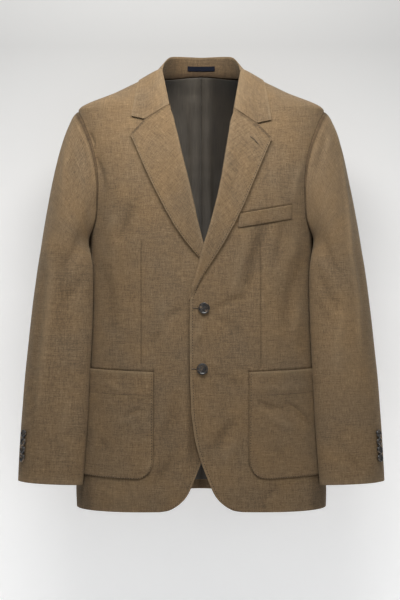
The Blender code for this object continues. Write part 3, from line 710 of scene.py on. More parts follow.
def cloth(node, points, uv, wall, look, side=1, outward=False, closed=False,
          inner=None, held="hung", rests_on=(), cut=None, slot="linen", shade=None):
    """A grid of cloth with its wall, riding on the body in place of its node."""
    name = "cloth_" + node.removeprefix("chest_")
    obj = linked(name, grid_mesh(name, points, uv, side, closed))
    # The shade array, kept as the seam attribute, is painted shade and painted light for the cloth's
    # colour, with some wear at its edges.
    if shade is not None:
        kept = np.broadcast_to(shade, points.shape[:2])[:, :points.shape[1] - closed]
        painted_light_and_wear_layer = obj.data.attributes.new("seam", "FLOAT", "POINT")
        painted_light_and_wear_layer.data.foreach_set("value", np.ascontiguousarray(kept, np.float32).ravel())
    obj.data.materials.append(look)
    wall_maker = obj.modifiers.new("Wall", "SOLIDIFY")
    wall_maker.thickness = wall * MM
    wall_maker.offset = 1.0 if outward else -1.0
    if inner is not None:
        obj.data.materials.append(inner)
        wall_maker.material_offset = 1
    fold = obj.modifiers.new("Edge", "BEVEL")
    fold.width = min(0.42 * wall, 0.6) * MM
    fold.segments = 2
    fold.limit_method = "ANGLE"
    fold.angle_limit = math.radians(55)
    fold.harden_normals = False
    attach(obj, "root")
    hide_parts(node)


# ---------------------------------------------------------------- materials


class Tree:
    """A material, and a few helpers that write its shader nodes in one line each."""

    def __init__(self, name):
        self.material = bpy.data.materials.new(name)
        self.material.use_nodes = True
        self.nodes = self.material.node_tree.nodes
        self.links = self.material.node_tree.links
        self.shader = self.nodes["Principled BSDF"]

    def put(self, value, socket):
        if hasattr(value, "links"):
            self.links.new(value, socket)
        elif value is not None:
            socket.default_value = value

    def new(self, kind, inputs=(), **settings):
        """A node with its settings and its inputs, each a value or another node's output."""
        node = self.nodes.new("ShaderNode" + kind)
        for key, value in settings.items():
            setattr(node, key, value)
        for key, value in dict(inputs).items():
            self.put(value, node.inputs[key])
        return node

    def finish(self, inputs):
        for key, value in inputs.items():
            self.put(value, self.shader.inputs[key])
        return self.material

    def math(self, operation, *values):
        return self.new("Math", enumerate(values), operation=operation).outputs[0]

    def plus(self, first, second):
        return self.math("ADD", first, second)

    def minus(self, first, second):
        return self.math("SUBTRACT", first, second)

    def times(self, first, second):
        return self.math("MULTIPLY", first, second)

    def least(self, first, second):
        return self.math("MINIMUM", first, second)

    def most(self, first, second):
        return self.math("MAXIMUM", first, second)

    def weighted(self, *pairs):
        """The sum of values, each times its share."""
        return functools.reduce(self.plus, [self.times(value, share) for value, share in pairs])

    def root_of_squares(self, first, second):
        return self.math("SQRT", self.plus(self.times(first, first), self.times(second, second)))

    def within(self, away, width):
        """One at no distance, and nothing beyond width."""
        return self.minus(1.0, self.least(self.math("DIVIDE", away, width), 1.0))

    def where(self):
        return self.new("TexCoord").outputs["Object"]

    def cloth_map(self):
        return self.new("UVMap", uv_map="cloth").outputs["UV"]

    def parted(self, vector):
        return self.new("SeparateXYZ", {0: vector}).outputs

    def noise(self, vector, scale, detail=2.0, roughness=0.5):
        inputs = {"Vector": vector, "Scale": scale, "Detail": detail, "Roughness": roughness}
        return self.new("TexNoise", inputs).outputs["Fac"]

    def mapped(self, vector, scale=(1, 1, 1), turn=0.0, location=(0, 0, 0)):
        inputs = {"Vector": vector, "Location": location, "Rotation": (0, 0, turn), "Scale": scale}
        return self.new("Mapping", inputs).outputs["Vector"]

    def streaks(self, vector, scale, detail, roughness, turn=0.0):
        return self.noise(self.mapped(vector, (*scale, 1)[:3], turn), 1.0, detail, roughness)

    def ramp(self, value, stops):
        node = self.new("ValToRGB", {"Fac": value})
        elements = node.color_ramp.elements
        while len(elements) < len(stops):
            elements.new(0.5)
        for element, (place, colour) in zip(elements, stops):
            element.position = place
            element.color = (*colour, 1.0)
        return node.outputs["Color"]

    def mixed(self, blend, share, first, second):
        """Two colours mixed. A Mix node has its colours at inputs 6 and 7 and at output 2."""
        second = (*second, 1) if isinstance(second, tuple) else second
        inputs = {0: share, 6: first, 7: second}
        return self.new("Mix", inputs, data_type="RGBA", blend_type=blend).outputs[2]

    def painted_shade_light_and_wear(self, colour, dark, worn_and_lit_tone):
        """The colour with painted shade where the seam attribute is above nothing, and paler where
        below: painted light on crease ridges, and wear at edges.
        """
        value = self.new("Attribute", attribute_name="seam").outputs["Fac"]
        colour = self.mixed("MULTIPLY", self.least(self.most(value, 0.0), 1.0), colour, dark)
        pale = self.least(self.most(self.times(value, -1.0), 0.0), 1.0)
        return self.mixed("MIX", pale, colour, worn_and_lit_tone)

    def bump(self, height, strength, distance, normal=None):
        inputs = {"Strength": strength, "Distance": distance, "Height": height, "Normal": normal}
        return self.new("Bump", inputs).outputs["Normal"]

    def near_line(self, x, y, start, end, width):
        """One on the line between two places of the cloth map, and nothing beyond width."""
        (x0, y0), (x1, y1) = start, end
        length = math.hypot(x1 - x0, y1 - y0)
        ux, uy = (x1 - x0) / length, (y1 - y0) / length
        dx, dy = self.minus(x, x0), self.minus(y, y0)
        along = self.weighted((dx, ux), (dy, uy))
        over = self.minus(along, self.least(self.most(along, 0.0), length))
        away = self.minus(self.times(dx, uy), self.times(dy, ux))
        return self.within(self.root_of_squares(over, away), width)

    def near_box(self, x, y, box, width):
        """One on a leaning box with round lower corners, and nothing beyond width from it."""
        left, right, low, slope, corner = box
        y = self.minus(y, self.times(self.minus(x, left), slope))
        ax = self.math("ABSOLUTE", self.minus(x, (left + right) / 2))
        ax = self.minus(ax, (right - left) / 2 - corner)
        ay = self.minus(low + corner, y)
        out = self.root_of_squares(self.most(ax, 0.0), self.most(ay, 0.0))
        inside = self.least(self.most(ax, ay), 0.0)
        return self.within(self.math("ABSOLUTE", self.minus(self.plus(out, inside), corner)), width)


YARN = 0.00085  # metres from one yarn to the next
LINEN_TONES = (
    (0.35, (0.082, 0.056, 0.034)), (0.45, (0.146, 0.099, 0.055)),
    (0.54, (0.206, 0.139, 0.076)), (0.65, (0.310, 0.222, 0.126)),
)
LINEN_CLOUD = ((0.32, (0.90, 0.92, 0.97)), (0.68, (1.08, 1.04, 0.98)))
HORN_TONES = (
    (0.36, (0.006, 0.006, 0.007)), (0.50, (0.016, 0.014, 0.013)),
    (0.57, (0.085, 0.058, 0.036)), (0.66, (0.24, 0.16, 0.095)),
)


def linen(name, seed=0.0, seams=(), turn=0.0, pocket=None):
    """Plain-woven linen of a light and a darker yarn, with slubs, from the cloth map in metres."""
    tree = Tree("linen_" + name)
    flat = tree.cloth_map()
    place = tree.mapped(flat, turn=turn, location=(seed, seed * 0.7, seed))
    warp = tree.streaks(place, (840, 80), 3.0, 0.7)
    weft = tree.streaks(place, (66, 780), 3.0, 0.7)
    slub_up = tree.streaks(place, (420, 24), 2.0, 0.6)
    slub_over = tree.streaks(place, (20, 400), 2.0, 0.6)
    fleck = tree.streaks(place, (560, 560), 2.0, 0.6)
    both = tree.weighted((warp, 0.5), (weft, 0.5))
    slub = tree.weighted((slub_up, 0.45), (slub_over, 0.55))
    colour = tree.ramp(tree.weighted((both, 0.60), (slub, 0.15), (fleck, 0.25)), LINEN_TONES)
    cloud = tree.ramp(tree.noise(place, 15.0, 3.0, 0.55), LINEN_CLOUD)
    colour = tree.mixed("MULTIPLY", 1.0, colour, cloud)
    turns = [tree.times(c, 2 * math.pi / YARN) for c in tree.parted(place)[:2]]
    over, under = [tree.math("SINE", value) for value in turns]
    height = tree.weighted((tree.times(over, under), 0.32), (both, 0.9), (slub, 1.2))
    normal = tree.bump(height, 0.55, 0.00042)
    x, y = tree.parted(flat)[:2]
    for start, end in seams:
        # Painted shade along each seam and under the welt's and pocket mouth's edges: the cloth is
        # darkened on the line.
        line = tree.near_line(x, y, start, end, 0.0016)
        colour = tree.mixed("MULTIPLY", tree.times(line, 0.5), colour, (0.26, 0.23, 0.20))
        groove = tree.near_line(x, y, start, end, 0.0045)
        normal = tree.bump(tree.times(tree.times(groove, groove), -1.0), 0.8, 0.0012, normal)
    if pocket is not None:
        # Painted shadow of the pocket's edge on the front, below its mouth.
        line = tree.near_box(x, y, pocket, 0.0026)
        line = tree.times(line, tree.math("LESS_THAN", y, POCKET_TOP * MM + 0.008))
        colour = tree.mixed("MULTIPLY", tree.times(line, 0.42), colour, (0.20, 0.17, 0.14))
    return tree.finish({
        # The seam attribute paints shade towards the first colour, and painted light and wear
        # towards the second.
        "Base Color": tree.painted_shade_light_and_wear(colour, (0.16, 0.13, 0.11), (0.33, 0.245, 0.15)),
        "Normal": normal,
        "Roughness": tree.plus(tree.times(both, 0.16), 0.78),
        "Specular IOR Level": 0.22,
        "Sheen Weight": 0.16,
        "Sheen Roughness": 0.45,
        "Sheen Tint": (0.86, 0.72, 0.52, 1),
    })


def satin(name, dark, light, scale, sheen, rough, gloss=0.4):
    """Smooth lining or label cloth: fine ribs and a faint mottling."""
    tree = Tree(name)
    flat = tree.cloth_map()
    streak = tree.streaks(flat, (scale, scale / 30), 3.0, 0.6)
    tone = tree.weighted((streak, 0.6), (tree.noise(flat, 24.0, 2.0, 0.5), 0.4))
    colour = tree.ramp(tone, ((0.36, dark), (0.64, light)))
    x, y = tree.parted(flat)[:2]
    rib = tree.math("SINE", tree.times(tree.plus(x, tree.times(y, 0.9)), 9000.0))
    return tree.finish({
        # The seam attribute paints shade on the lining, towards the dark colour.
        "Base Color": tree.painted_shade_light_and_wear(colour, (0.22, 0.18, 0.13), light),
        "Normal": tree.bump(tree.plus(tree.times(rib, 0.15), streak), 0.3, 0.00025),
        "Roughness": tree.plus(tree.times(streak, 0.15), rough),
        "Specular IOR Level": gloss,
        "Sheen Weight": sheen,
    })


def horn(name):
    tree = Tree(name)
    where = tree.where()
    fine = tree.noise(where, 1400.0, 3.0, 0.6)
    return tree.finish({
        "Base Color": tree.ramp(tree.streaks(where, (90, 260, 120), 4.0, 0.62, 0.6), HORN_TONES),
        "Roughness": tree.plus(tree.times(fine, 0.22), 0.22),
        "Normal": tree.bump(fine, 0.15, 0.0002),
        "Coat Weight": 0.25,
        "Coat Roughness": 0.2,
    })


def thread_look(name, colour):
    tree = Tree(name)
    twist = tree.noise(tree.where(), 2600.0, 2.0, 0.5)
    light = tuple(min(1.0, c * 1.5) for c in colour)
    return tree.finish({
        "Base Color": tree.ramp(twist, ((0.35, colour), (0.7, light))),
        "Normal": tree.bump(twist, 0.4, 0.0002),
        "Roughness": 0.75,
    })


# ---------------------------------------------------------------- panels


def front_lift(angle, height, over):
    """How far a front moves out or in where the two fronts overlap at the centre."""
    near = eased(1 - skin(angle, height)[..., 0] / OVERLAP_REACH)
    return OVERLAP_LIFT * near * (OVER_SHARE if over else UNDER_SHARE)


def neck_edge(label):
    """The front's neck seam, from the top of the roll line to the shoulder seam."""
    return [(roll[-1], *edge) for roll, edge in zip(ROLL_LINE[label], NECK_EDGE)]


def front_grid(label, f):
    edges = (
        (HEM_CURVE, 4 * f), (FRONT_EDGE, 3 * f),
        (ROLL_LINE[label], 8 * f), (neck_edge(label), 6 * f),
    )
    left = unrolled(chain(*edges), by_angle=False)
    armhole = backward(ARMHOLE_FRONT), ARMHOLE_CELLS * f
    right = unrolled(chain((SIDE_SEAM, SEAM_CELLS * f), armhole))
    share = np.linspace(0, 1, SHOULDER_CELLS * f + 1)[:, None]
    bottom = left[0] + (right[0] - left[0]) * share
    bottom[:, 1] -= HEM_SAG * np.sin(math.pi * share[:, 0])
    return patch(bottom, right, unrolled(flowing(SHOULDER, SHOULDER_CELLS * f)), left)


def front_field(points, side):
    return field(points, side, FRONT_CREASES, 0.3 if side > 0 else 1.9, 0.75)


def body_cloth(flat, side, lift, more=()):
    """Points of cloth that lies on a front, with the front's creases."""
    spot = spot_of(flat)
    base = body(*spot)
    rise = front_field(base, side) + front_lift(*spot, side > 0) + lift
    if more:
        rise = rise + field(base, side, more, 3.3 + side, 0.25)
    return body(*spot, rise)


def make_front(label, side, look, inner):
    over = side > 0
    flat = shrunk(front_grid(label, BODY_FINE), PANEL_GAP, RIDGE_GAP)
    spot = spot_of(flat)
    base = body(*spot)
    rise = front_field(base, side) * faded(flat.shape[1], 7, True)
    rise = rise * faded(len(flat), 7, True)[:, None]
    points = body(*spot, rise + front_lift(*spot, over))
    across, height = base[..., 0], base[..., 2]
    # Painted shade at the seams, in crease hollows (paler on ridges) and on the front beside the
    # sleeve, below the armhole.
    painted_underarm_shade = 0.42 * eased((across - 184) / 17) * eased((-270 - height) / 60)
    shade = painted_edge_shade_and_wear("front", points) - CREASE_PAINTED_SHADE * rise + painted_underarm_shade
    # Painted shadow that the left front's edge casts on the right front.
    if not over:
        painted_edge_shadow = eased(1 - (across - 18) / 10) * eased((-385 - height) / 40)
        shade = shade + 0.5 * painted_edge_shadow * eased((height + 712) / 60)
    cloth("front_" + label, points, flat, SHELL, look, side, inner=inner, cut=base, shade=shade)
    return points


def back_grid(f):
    """The half back, flat, measured round from the centre back."""
    left, right, bottom, top = [
        unrolled(chain(*stretches), from_back=True)
        for stretches in (
            ((BACK_CENTRE, (SEAM_CELLS + ARMHOLE_CELLS) * f),),
            ((SIDE_SEAM, SEAM_CELLS * f), (ARMHOLE_BACK, ARMHOLE_CELLS * f)),
            ((BACK_HEM, (NECK_CELLS + SHOULDER_CELLS) * f),),
            ((BACK_NECK, NECK_CELLS * f), (SHOULDER, SHOULDER_CELLS * f)),
        )
    ]
    return patch(bottom, right, top, left)


def tucked(flat, rise, edge, inner, chosen):
    """A panel's edge carried on under its neighbour, so that no light comes through the seam."""
    flat[edge] += unit(flat[edge] - flat[inner]) * TUCK * chosen[:, None]
    rise[edge] -= TUCK_DEPTH * chosen


def back_cloth(node, points, flat, side, wall, look, shade, **more):
    """A piece measured from the centre back, turned so that its columns run to the side's own +X."""
    points, uv, shade = points[:, ::-1], (flat * (-1, 1))[:, ::-1], shade[:, ::-1]
    cloth(node, points, uv, wall, look, side, shade=shade, **more)


def make_back(label, side, look, inner):
    flat = shrunk(back_grid(BACK_FINE), PANEL_GAP, RIDGE_GAP)
    sink = np.zeros(flat.shape[:2])
    rows, columns = np.arange(flat.shape[0]), np.arange(flat.shape[1])
    tucked(flat, sink, np.s_[:, -1], np.s_[:, -2], (rows < SEAM_CELLS * BACK_FINE + 1) * 1.0)
    tucked(flat, sink, np.s_[-1], np.s_[-2], (columns > NECK_CELLS * BACK_FINE + 2) * 1.0)
    if side > 0:
        tucked(flat, sink, np.s_[:, 0], np.s_[:, 1], np.ones(len(flat)))
    spot = spot_of(flat, from_back=True)
    base = body(*spot)
    rise = field(base, side, BACK_CREASES, 5.1 + side, 0.8)
    rise = np.where(rise < 0, MOST_BACK_HOLLOW * np.tanh(rise / MOST_BACK_HOLLOW), rise)
    rise = rise * faded(len(columns), 5) * faded(len(columns), 5, True)
    rise = rise * faded(len(rows), 6, True)[:, None]
    groove = 0.5 * np.exp(-((columns / 1.1) ** 2))
    points = body(*spot, rise - groove + sink)
    # Painted shade at the seams and in crease hollows, paler on the ridges.
    shade = painted_edge_shade_and_wear("back", points) - CREASE_PAINTED_SHADE * rise
    back_cloth("back_" + label, points, flat, side, SHELL, look, shade, inner=inner, cut=base)


def make_lining(label, side, look):
    f = LINING_FINE
    flat = shrunk(back_grid(f)[f // 2:], LINING_INSET)
    flat[:, 0, 0] = -TUCK if side > 0 else 0.25
    drop = np.clip(np.linspace(-0.6, 1, flat.shape[1]), 0, 1)
    top = np.clip((np.arange(len(flat)) - len(flat) + 3 * f) / (3 * f), 0, 1)[:, None]
    flat[..., 1] -= LINING_SHOULDER_DROP * drop * top
    spot = spot_of(flat, from_back=True)
    base = body(*spot, -SHELL - LINING_CLEAR)
    rise = -field(base, side, LINING_CREASES, 7.7 + side, 0.5) * 0.9
    rise = np.where(rise > 0, np.tanh(rise), rise)
    if side > 0:
        rise[:, 0] += LINING_OVERLAP_LIFT
    points = body(*spot, -SHELL - LINING_CLEAR - LINING_PROUD + rise)
    across = base[..., 0] * side
    # Painted shadow that the fronts cast on the lining, darker away from the centre line, and
    # painted shade along its centre edge.
    shade = 0.85 * eased((across - 4) / 22) if side > 0 else 0.30 * eased((across + 60) / -40)
    shade = shade + painted_edge_shade_and_wear("lining", points)
    back_cloth("lining_" + label, points, flat, side, LINING, look, shade, cut=base, slot="lining")


def lapel_grid(label, f):
    """Lapel in across and height: column 0 is the roll line, the last one the outer edge."""
    peak, notch, end, foot = [table[label] for table in (LAPEL_PEAK, NOTCH, GORGE_END, LAPEL_FOOT)]
    heights = np.linspace(foot, end[1], 12)
    across = steady(ROLL_LINE[label][1], ROLL_LINE[label][0], heights)
    across[-1] = end[0]
    roll = flowing((across, heights), 13 * f)
    across, down = [list(column) for column in LAPEL_EDGE[label]]
    across[0], down[0] = roll[0, 0] + 2.0, foot + 0.5
    edge = flowing((across, down), 13 * f)
    gorge, step = np.linspace(end, notch, 4 * f + 1), np.linspace(notch, peak, 3 * f + 1)
    top = np.concatenate([gorge, step[1:]])
    return patch(np.linspace(roll[0], edge[0], 7 * f + 1), edge, top, roll)


def make_lapel(label, side, look):
    """The turned-back front: it leaves the front's edge, rolls over and lies on the chest."""
    f = LAPEL_FINE
    flat = lapel_grid(label, f)
    width = np.linalg.norm(flat[:, -1] - flat[:, 0], axis=1)[:, None]
    reach = np.linspace(0, 1, flat.shape[1]) * width
    roll = np.maximum(LAPEL_ROLL * np.clip(width / 50, 0, 1), 1.0)
    lift = 1.0 + (LAPEL_LIFT - 1.0) * np.clip(width / 30, 0, 1)
    lift = lift + np.maximum(roll - lift, 0) * np.exp(-((reach / LAPEL_ROLL_REACH) ** 2))
    height = flat[..., 1]
    angle = angle_at(flat[..., 0], height)
    run = np.linalg.norm(flat[:, :1] - flat[:1, :1], axis=2)
    lift = lift - FOOT_SINK * (1 - eased(run / FOOT_RUN))
    base = front_lift(angle, height, side > 0)
    place = body(angle, height)
    own = field(place, side, LAPEL_CREASES, 2.2 + side, 0.35)
    shared = front_field(place, side)
    curl = LAPEL_CURL * eased((reach - 0.55 * width) / (0.45 * width)) * np.clip(width / 60, 0, 1)
    rise = lift + base + own * np.clip(width / 40, 0, 1) + np.maximum(shared, -0.6) + curl
    turned = body(angle, height, rise)
    fold = []
    full = eased(np.linalg.norm(flat[:, 0] - flat[-1, 0], axis=1) / FOLD_TAPER)
    for shift, share in LAPEL_FOLD:
        near = angle_at(flat[:, 0, 0] + shift * full + 1.2 * (1 - full), height[:, 0])
        out = base[:, 0] + shared[:, 0] * share + lift[:, 0] * share - 0.3 * (1 - share)
        fold.append(body(near, height[:, 0], out))
    rounded = resampled(np.stack([*fold, turned[:, 0]], axis=1), f)
    points = np.concatenate([rounded, turned[:, 1:]], axis=1)
    points = np.concatenate([points[:, :1], softened(points, 3)[:, 1:]], axis=1)
    over, up = run_of(points.swapaxes(0, 1)), run_of(flat[:, 0])[:, None]
    uv = np.stack(np.broadcast_arrays(over, up), axis=-1)
    # Painted shade along the lapel's top edge, at the gorge and notch.
    cloth("lapel_" + label, points, uv, SHELL, look, side, outward=True, held="folded",
          rests_on=["cloth_front_" + label], shade=painted_edge_shade_and_wear("lapel", points))
    return points


def by_angles(points):
    """Points given as across and height, as angle and height."""
    return np.stack([angle_at(points[:, 0], points[:, 1]), points[:, 1]], axis=1)


def neck_line(label, count):
    """Just inside the neck seam, from the centre back to the top of the lapel: angle and height."""
    across, height = backward(neck_edge(label))
    front = by_angles(flowing((np.subtract(across, STAND_INSET), height), count - count // 2))
    return np.concatenate([flowing(BACK_NECK, count // 2), front[1:]])


def collar_half(label, f):
    """One half of the collar, rows from the centre back to the front, columns from seam to edge."""
    steps, stand_cells, fall_cells = COLLAR_STEPS * f, 3 * f, 6 * f
    line = neck_line(label, steps)
    inside = -(2 * SHELL + STAND_CLEAR)
    ending = eased((np.arange(len(line)) - (len(line) - 1 - STAND_END_ROWS * f)) / f)
    seam = body(line[:, 0], line[:, 1] - STAND_DROP, inside + (STAND_END_LIFT - inside) * ending)
    point, notch, end = COLLAR_POINT[label], NOTCH[label], GORGE_END[label]
    front = [(*column, last) for column, last in zip(COLLAR_EDGE_FRONT, point)]
    flat = np.concatenate([
        flowing(COLLAR_EDGE_BACK, steps // 2), by_angles(flowing(front, steps - steps // 2))[1:],
    ])
    share = np.linspace(0, 1, len(flat))[:, None] ** 3
    edge = body(flat[:, 0], flat[:, 1], COLLAR_EDGE_LIFT)
    fold = flowing(COLLAR_FOLD, steps)
    gorge = np.linspace(end, notch, 4 * f + 1) + (0, 2 * SEAM_GAP - 0.5)
    front = by_angles(np.concatenate([gorge, np.linspace(gorge[-1], point, 2 * f + 1)[1:]]))
    lifts = np.linspace(COLLAR_LIFT + 0.8, COLLAR_EDGE_LIFT + 1.2, len(front))
    front_edge = body(front[:, 0], front[:, 1], lifts)
    fold += (front_edge[0] - fold[-1]) * share
    back_edge = np.linspace(fold[0], edge[0], fall_cells + 1)
    edge += (front_edge[-1] - edge[-1]) * share
    pressed = np.linspace(0, 1, fall_cells + 1) ** 2
    fall = patch(back_edge, edge, front_edge, fold)
    fall = pushed_clear(fall, COLLAR_LIFT + (COLLAR_EDGE_LIFT - COLLAR_LIFT) * pressed)
    seam[-1] = body(front[0, 0], front[0, 1], STAND_END_LIFT)
    share = np.linspace(0, 1, stand_cells + 1)[:-1, None]
    stand = seam[:, None] + (fall[:, :1] - seam[:, None]) * share
    return np.concatenate([stand, fall], axis=1)


def make_collar(look):
    f = COLLAR_FINE
    right = collar_half("right", f)[1:][::-1] * (-1, 1, 1)
    points = np.concatenate([right, collar_half("left", f)])
    ends = np.minimum(faded(len(points), 2 * f), faded(len(points), 2 * f, True))
    rounded = softened(softened(points, 5), 4, axis=0)
    points = points + (rounded - points) * ends[:, None, None]
    rise = field(points, 1, COLLAR_CREASES, 4.4, 0.3)
    columns = np.arange(points.shape[1])
    shown = np.clip((columns - 3 * f) / (2 * f), 0, 1) * ends[:, None]
    points = points + normals_of(points) * (rise * shown)[..., None]
    width = run_of(points.swapaxes(0, 1))
    uv = np.stack(np.broadcast_arrays(run_of(points[:, 3 * f])[:, None], width), axis=-1)
    # Painted shade on the stand, inside the neck, and along its seam.
    shade = painted_edge_shade_and_wear("collar", points) + 0.5 * (columns < 2.6 * f)
    cloth("collar", points, uv, SHELL, look, outward=True, held="folded", shade=shade,
          rests_on=["cloth_front_left", "cloth_front_right", "cloth_back_left", "cloth_back_right"])
    return points


def sleeve_ring(height, count):
    """A level ring of the sleeve, from its outer side round the front to the inner side and back."""
    heights, *columns = backward(SLEEVE.values())
    outer, inner, centre, half_depth = [steady(heights, column, height) for column in columns]
    turn = np.linspace(0, 2 * math.pi, count + 1)
    half_width = (outer - inner) / 2
    x = half_width * power(np.cos(turn), 2 / SLEEVE_SQUARENESS)
    y = -half_depth * power(np.sin(turn), 2 / SLEEVE_SQUARENESS)
    down = np.clip((SLEEVE["height"][0] - height) / 400, 0, 1)
    z = height + CUFF_TILT * down * x / (2 * half_width)
    return np.stack([(outer + inner) / 2 + x, centre + y, z], axis=1)


def sleeve_points(f):
    """Rings from the armhole to the cuff. The cap leaves the seam outward and bends down."""
    count = SLEEVE_CELLS * f
    loop = chain((ARMHOLE_FRONT, count // 2), (ARMHOLE_BACK, count - count // 2))
    seam = body(loop[:, 0], loop[:, 1])
    head = SLEEVE["height"][0]
    first = sleeve_ring(head, count)
    down = (sleeve_ring(head - 20, count) - first) / 20
    up = ((seam[:, 2] - seam[:, 2].min()) / np.ptp(seam[:, 2]))[:, None]
    radial = unit((seam - seam[:-1].mean(axis=0)) * (0, 1, 1))
    leave = np.array((1, 0, 0)) * (0.9 - 0.12 * up) - np.array((0, 0, 1)) * (1 - 0.37 * up)
    leave = unit(leave + radial * (0, 0.45, 0))
    span = np.linalg.norm(first - seam, axis=1)[:, None]
    cap = [
        seam * (1 + 2 * share) * (1 - share) ** 2
        + leave * span * 0.52 * share * (1 - share) ** 2
        + first * share**2 * (3 - 2 * share)
        + down * span * 0.9 * share**2 * (share - 1)
        for share in np.arange(8 * f) / (8 * f)
    ]
    heights = np.linspace(head, SLEEVE["height"][-1], 8 * f + 1)
    rings = [sleeve_ring(height, count) for height in heights]
    points = np.array(cap + rings)
    turn = np.linspace(0, 2 * math.pi, count + 1)
    inward = np.clip(np.cos(turn - math.radians(138)), 0, 1) ** 3
    inward = inward + 0.5 * np.clip(np.cos(turn - math.radians(222)), 0, 1) ** 4
    points[..., 0] -= SLEEVE_NEST * inward * eased((-290 - points[..., 2]) / 60)
    low = eased((POCKET_TOP + 60 - points[1:, :, 2]) / 60)
    points[1:] = pushed_clear(points[1:], SLEEVE_CLEAR + (POCKET_CLEAR - SLEEVE_CLEAR) * low)
    points[0] += (leave + (1, 0, 0)) * SEAM_GAP * 0.4
    return points


def make_sleeve(label, side, look, inner):
    base = sleeve_points(SLEEVE_FINE)
    rows = np.arange(len(base))
    base = base + (softened(base, 6, axis=0) - base) * faded(len(base), 8)[:, None, None]
    normal = -normals_of(base, closed=True)
    if np.mean(normal[:, 0, 0]) < 0:
        normal = -normal
    facing = eased((-normal[..., 1] + 0.25) / 0.5)
    front = field(base, side, SLEEVE_CREASES, 6.0 + side, 0.5)
    back = field(base, side, BACK_SLEEVE_CREASES, 8.0 + side, 0.6)
    free = eased((normal[..., 0] + 0.95) / 0.5)
    start = np.clip((rows - 1) / 12, 0, 1)[:, None]
    rise = (front * facing + back * (1 - facing)) * start * free
    cap = 1.12 * np.exp(-(((rows - 4.5) / 3.4) ** 2))[:, None] * (base[:, :, 2] > -170)
    groove = -0.8 * np.exp(-((rows / 1.2) ** 2))[:, None]
    end = np.clip((len(base) - 1 - rows) / 4, 0.4, 1)[:, None]
    points = base + normal * (rise * end + cap + groove)[..., None]
    points[0] += unit(base[0] - base[1]) * TUCK * 0.6
    points[0] -= surface_at(base[0])[1] * (TUCK_DEPTH + 0.3) + (TUCK, 0, 0)
    turn = np.linspace(0, 2 * math.pi, base.shape[1]) * SLEEVE_MAP_RADIUS
    uv = np.stack(np.broadcast_arrays(turn, base[:, :1, 2]), axis=-1)
    # Painted shade at the armhole seam and in crease hollows, paler on ridges.
    cloth("sleeve_" + label, points, uv, SLEEVE_WALL, look, side, closed=True, inner=inner, cut=base,
          shade=painted_edge_shade_and_wear("sleeve", points) - CREASE_PAINTED_SHADE * rise)


def pocket_start():
    """Distance round from the centre front to the pocket's inner side."""
    return float(wrapped_at(angle_at([POCKET_INNER], [POCKET_TOP]), [POCKET_TOP])[0])


def welt_start():
    return float(wrapped_at(angle_at([WELT["inner"]], [WELT["top"]]), [WELT["top"]])[0])


def mirrored(points):
    """Points of one side of the pocket on its other side."""
    return np.stack([POCKET_WIDTH - points[:, 0], points[:, 1]], axis=1)


def pocket_grid(f):
    """The patch pocket, flat on the front: a mouth, two sides and a bottom with round corners."""
    low = POCKET_HEIGHT - POCKET_ROUND
    cells, round_cells = 7 * f, 3 * f

    def corner(first, last):
        turn = np.radians(np.linspace(first, last, round_cells + 1))
        around = POCKET_ROUND * (1 - np.cos(turn))
        return np.stack([around, low + POCKET_ROUND * np.sin(turn)], axis=1)

    left = np.concatenate([np.linspace((0, 0), (0, low), cells + 1), corner(0, 45)[1:]])
    turned = corner(45, 90)
    ends = (POCKET_ROUND, POCKET_HEIGHT), (POCKET_WIDTH - POCKET_ROUND, POCKET_HEIGHT)
    middle = np.linspace(*ends, cells)
    bottom = np.concatenate([turned, middle[1:], mirrored(turned)[::-1][1:]])
    top = np.linspace((0, 0), (POCKET_WIDTH, 0), len(bottom))
    grid = patch(bottom, mirrored(left)[::-1], top, left[::-1])
    slope = POCKET_SLOPE * grid[..., 0] / POCKET_WIDTH
    return np.stack([pocket_start() + grid[..., 0], POCKET_TOP - grid[..., 1] + slope], axis=-1)


def edge_share(shape, cells):
    """Nothing at a grid's sides and bottom edge, and one further in than so many cells."""
    r, c = np.arange(shape[0]), np.arange(shape[1])
    return np.clip(np.minimum(np.minimum(c, c[::-1]), r[:, None]) / cells, 0, 1)


def make_pocket(label, side, look):
    flat = pocket_grid(POCKET_FINE)
    mouth = np.clip(1 - np.arange(len(flat))[::-1] / 9, 0, 1)[:, None]
    gape = 1.5 * mouth**2 * np.sin(math.pi * np.linspace(0, 1, flat.shape[1]))
    puff = 0.4 * eased(edge_share(flat.shape, 3))
    points = body_cloth(flat, side, PATCH_LIFT * 0.4 + puff + gape, POCKET_CREASES)
    plain = body(*spot_of(flat), 1.0)
    own = field(plain, side, POCKET_CREASES + FRONT_CREASES, 3.3 + side, 0.4)
    # Painted shade near the pocket's sides and bottom and in crease hollows, paler on ridges.
    shade = 0.10 * (1 - eased(edge_share(flat.shape, 1.5))) - CREASE_PAINTED_SHADE * own
    shade = shade + painted_edge_shade_and_wear("pocket", points)
    cloth("pocket_" + label, points, flat, LIGHT, look, side, outward=True,
          held="laid", rests_on=["cloth_front_" + label], cut=plain, shade=shade)
    return points


def make_welt(look):
    u, v = np.meshgrid(np.linspace(0, 1, 45), np.linspace(0, 1, 10))
    height = WELT["top"] + u * WELT["rise"] - (1 - v) * WELT["height"]
    flat = np.stack([welt_start() + u * WELT["length"], height], axis=-1)
    puff = 0.6 * edge_share(flat.shape, 2) + 0.5 * v**3 * np.sin(math.pi * u)
    points = body_cloth(flat, 1, PATCH_LIFT * 0.5 + puff)
    cloth("chest_welt", points, flat, LIGHT, look, outward=True, held="laid",
          rests_on=["cloth_front_left"])


# ---------------------------------------------------------------- stitching and buttons


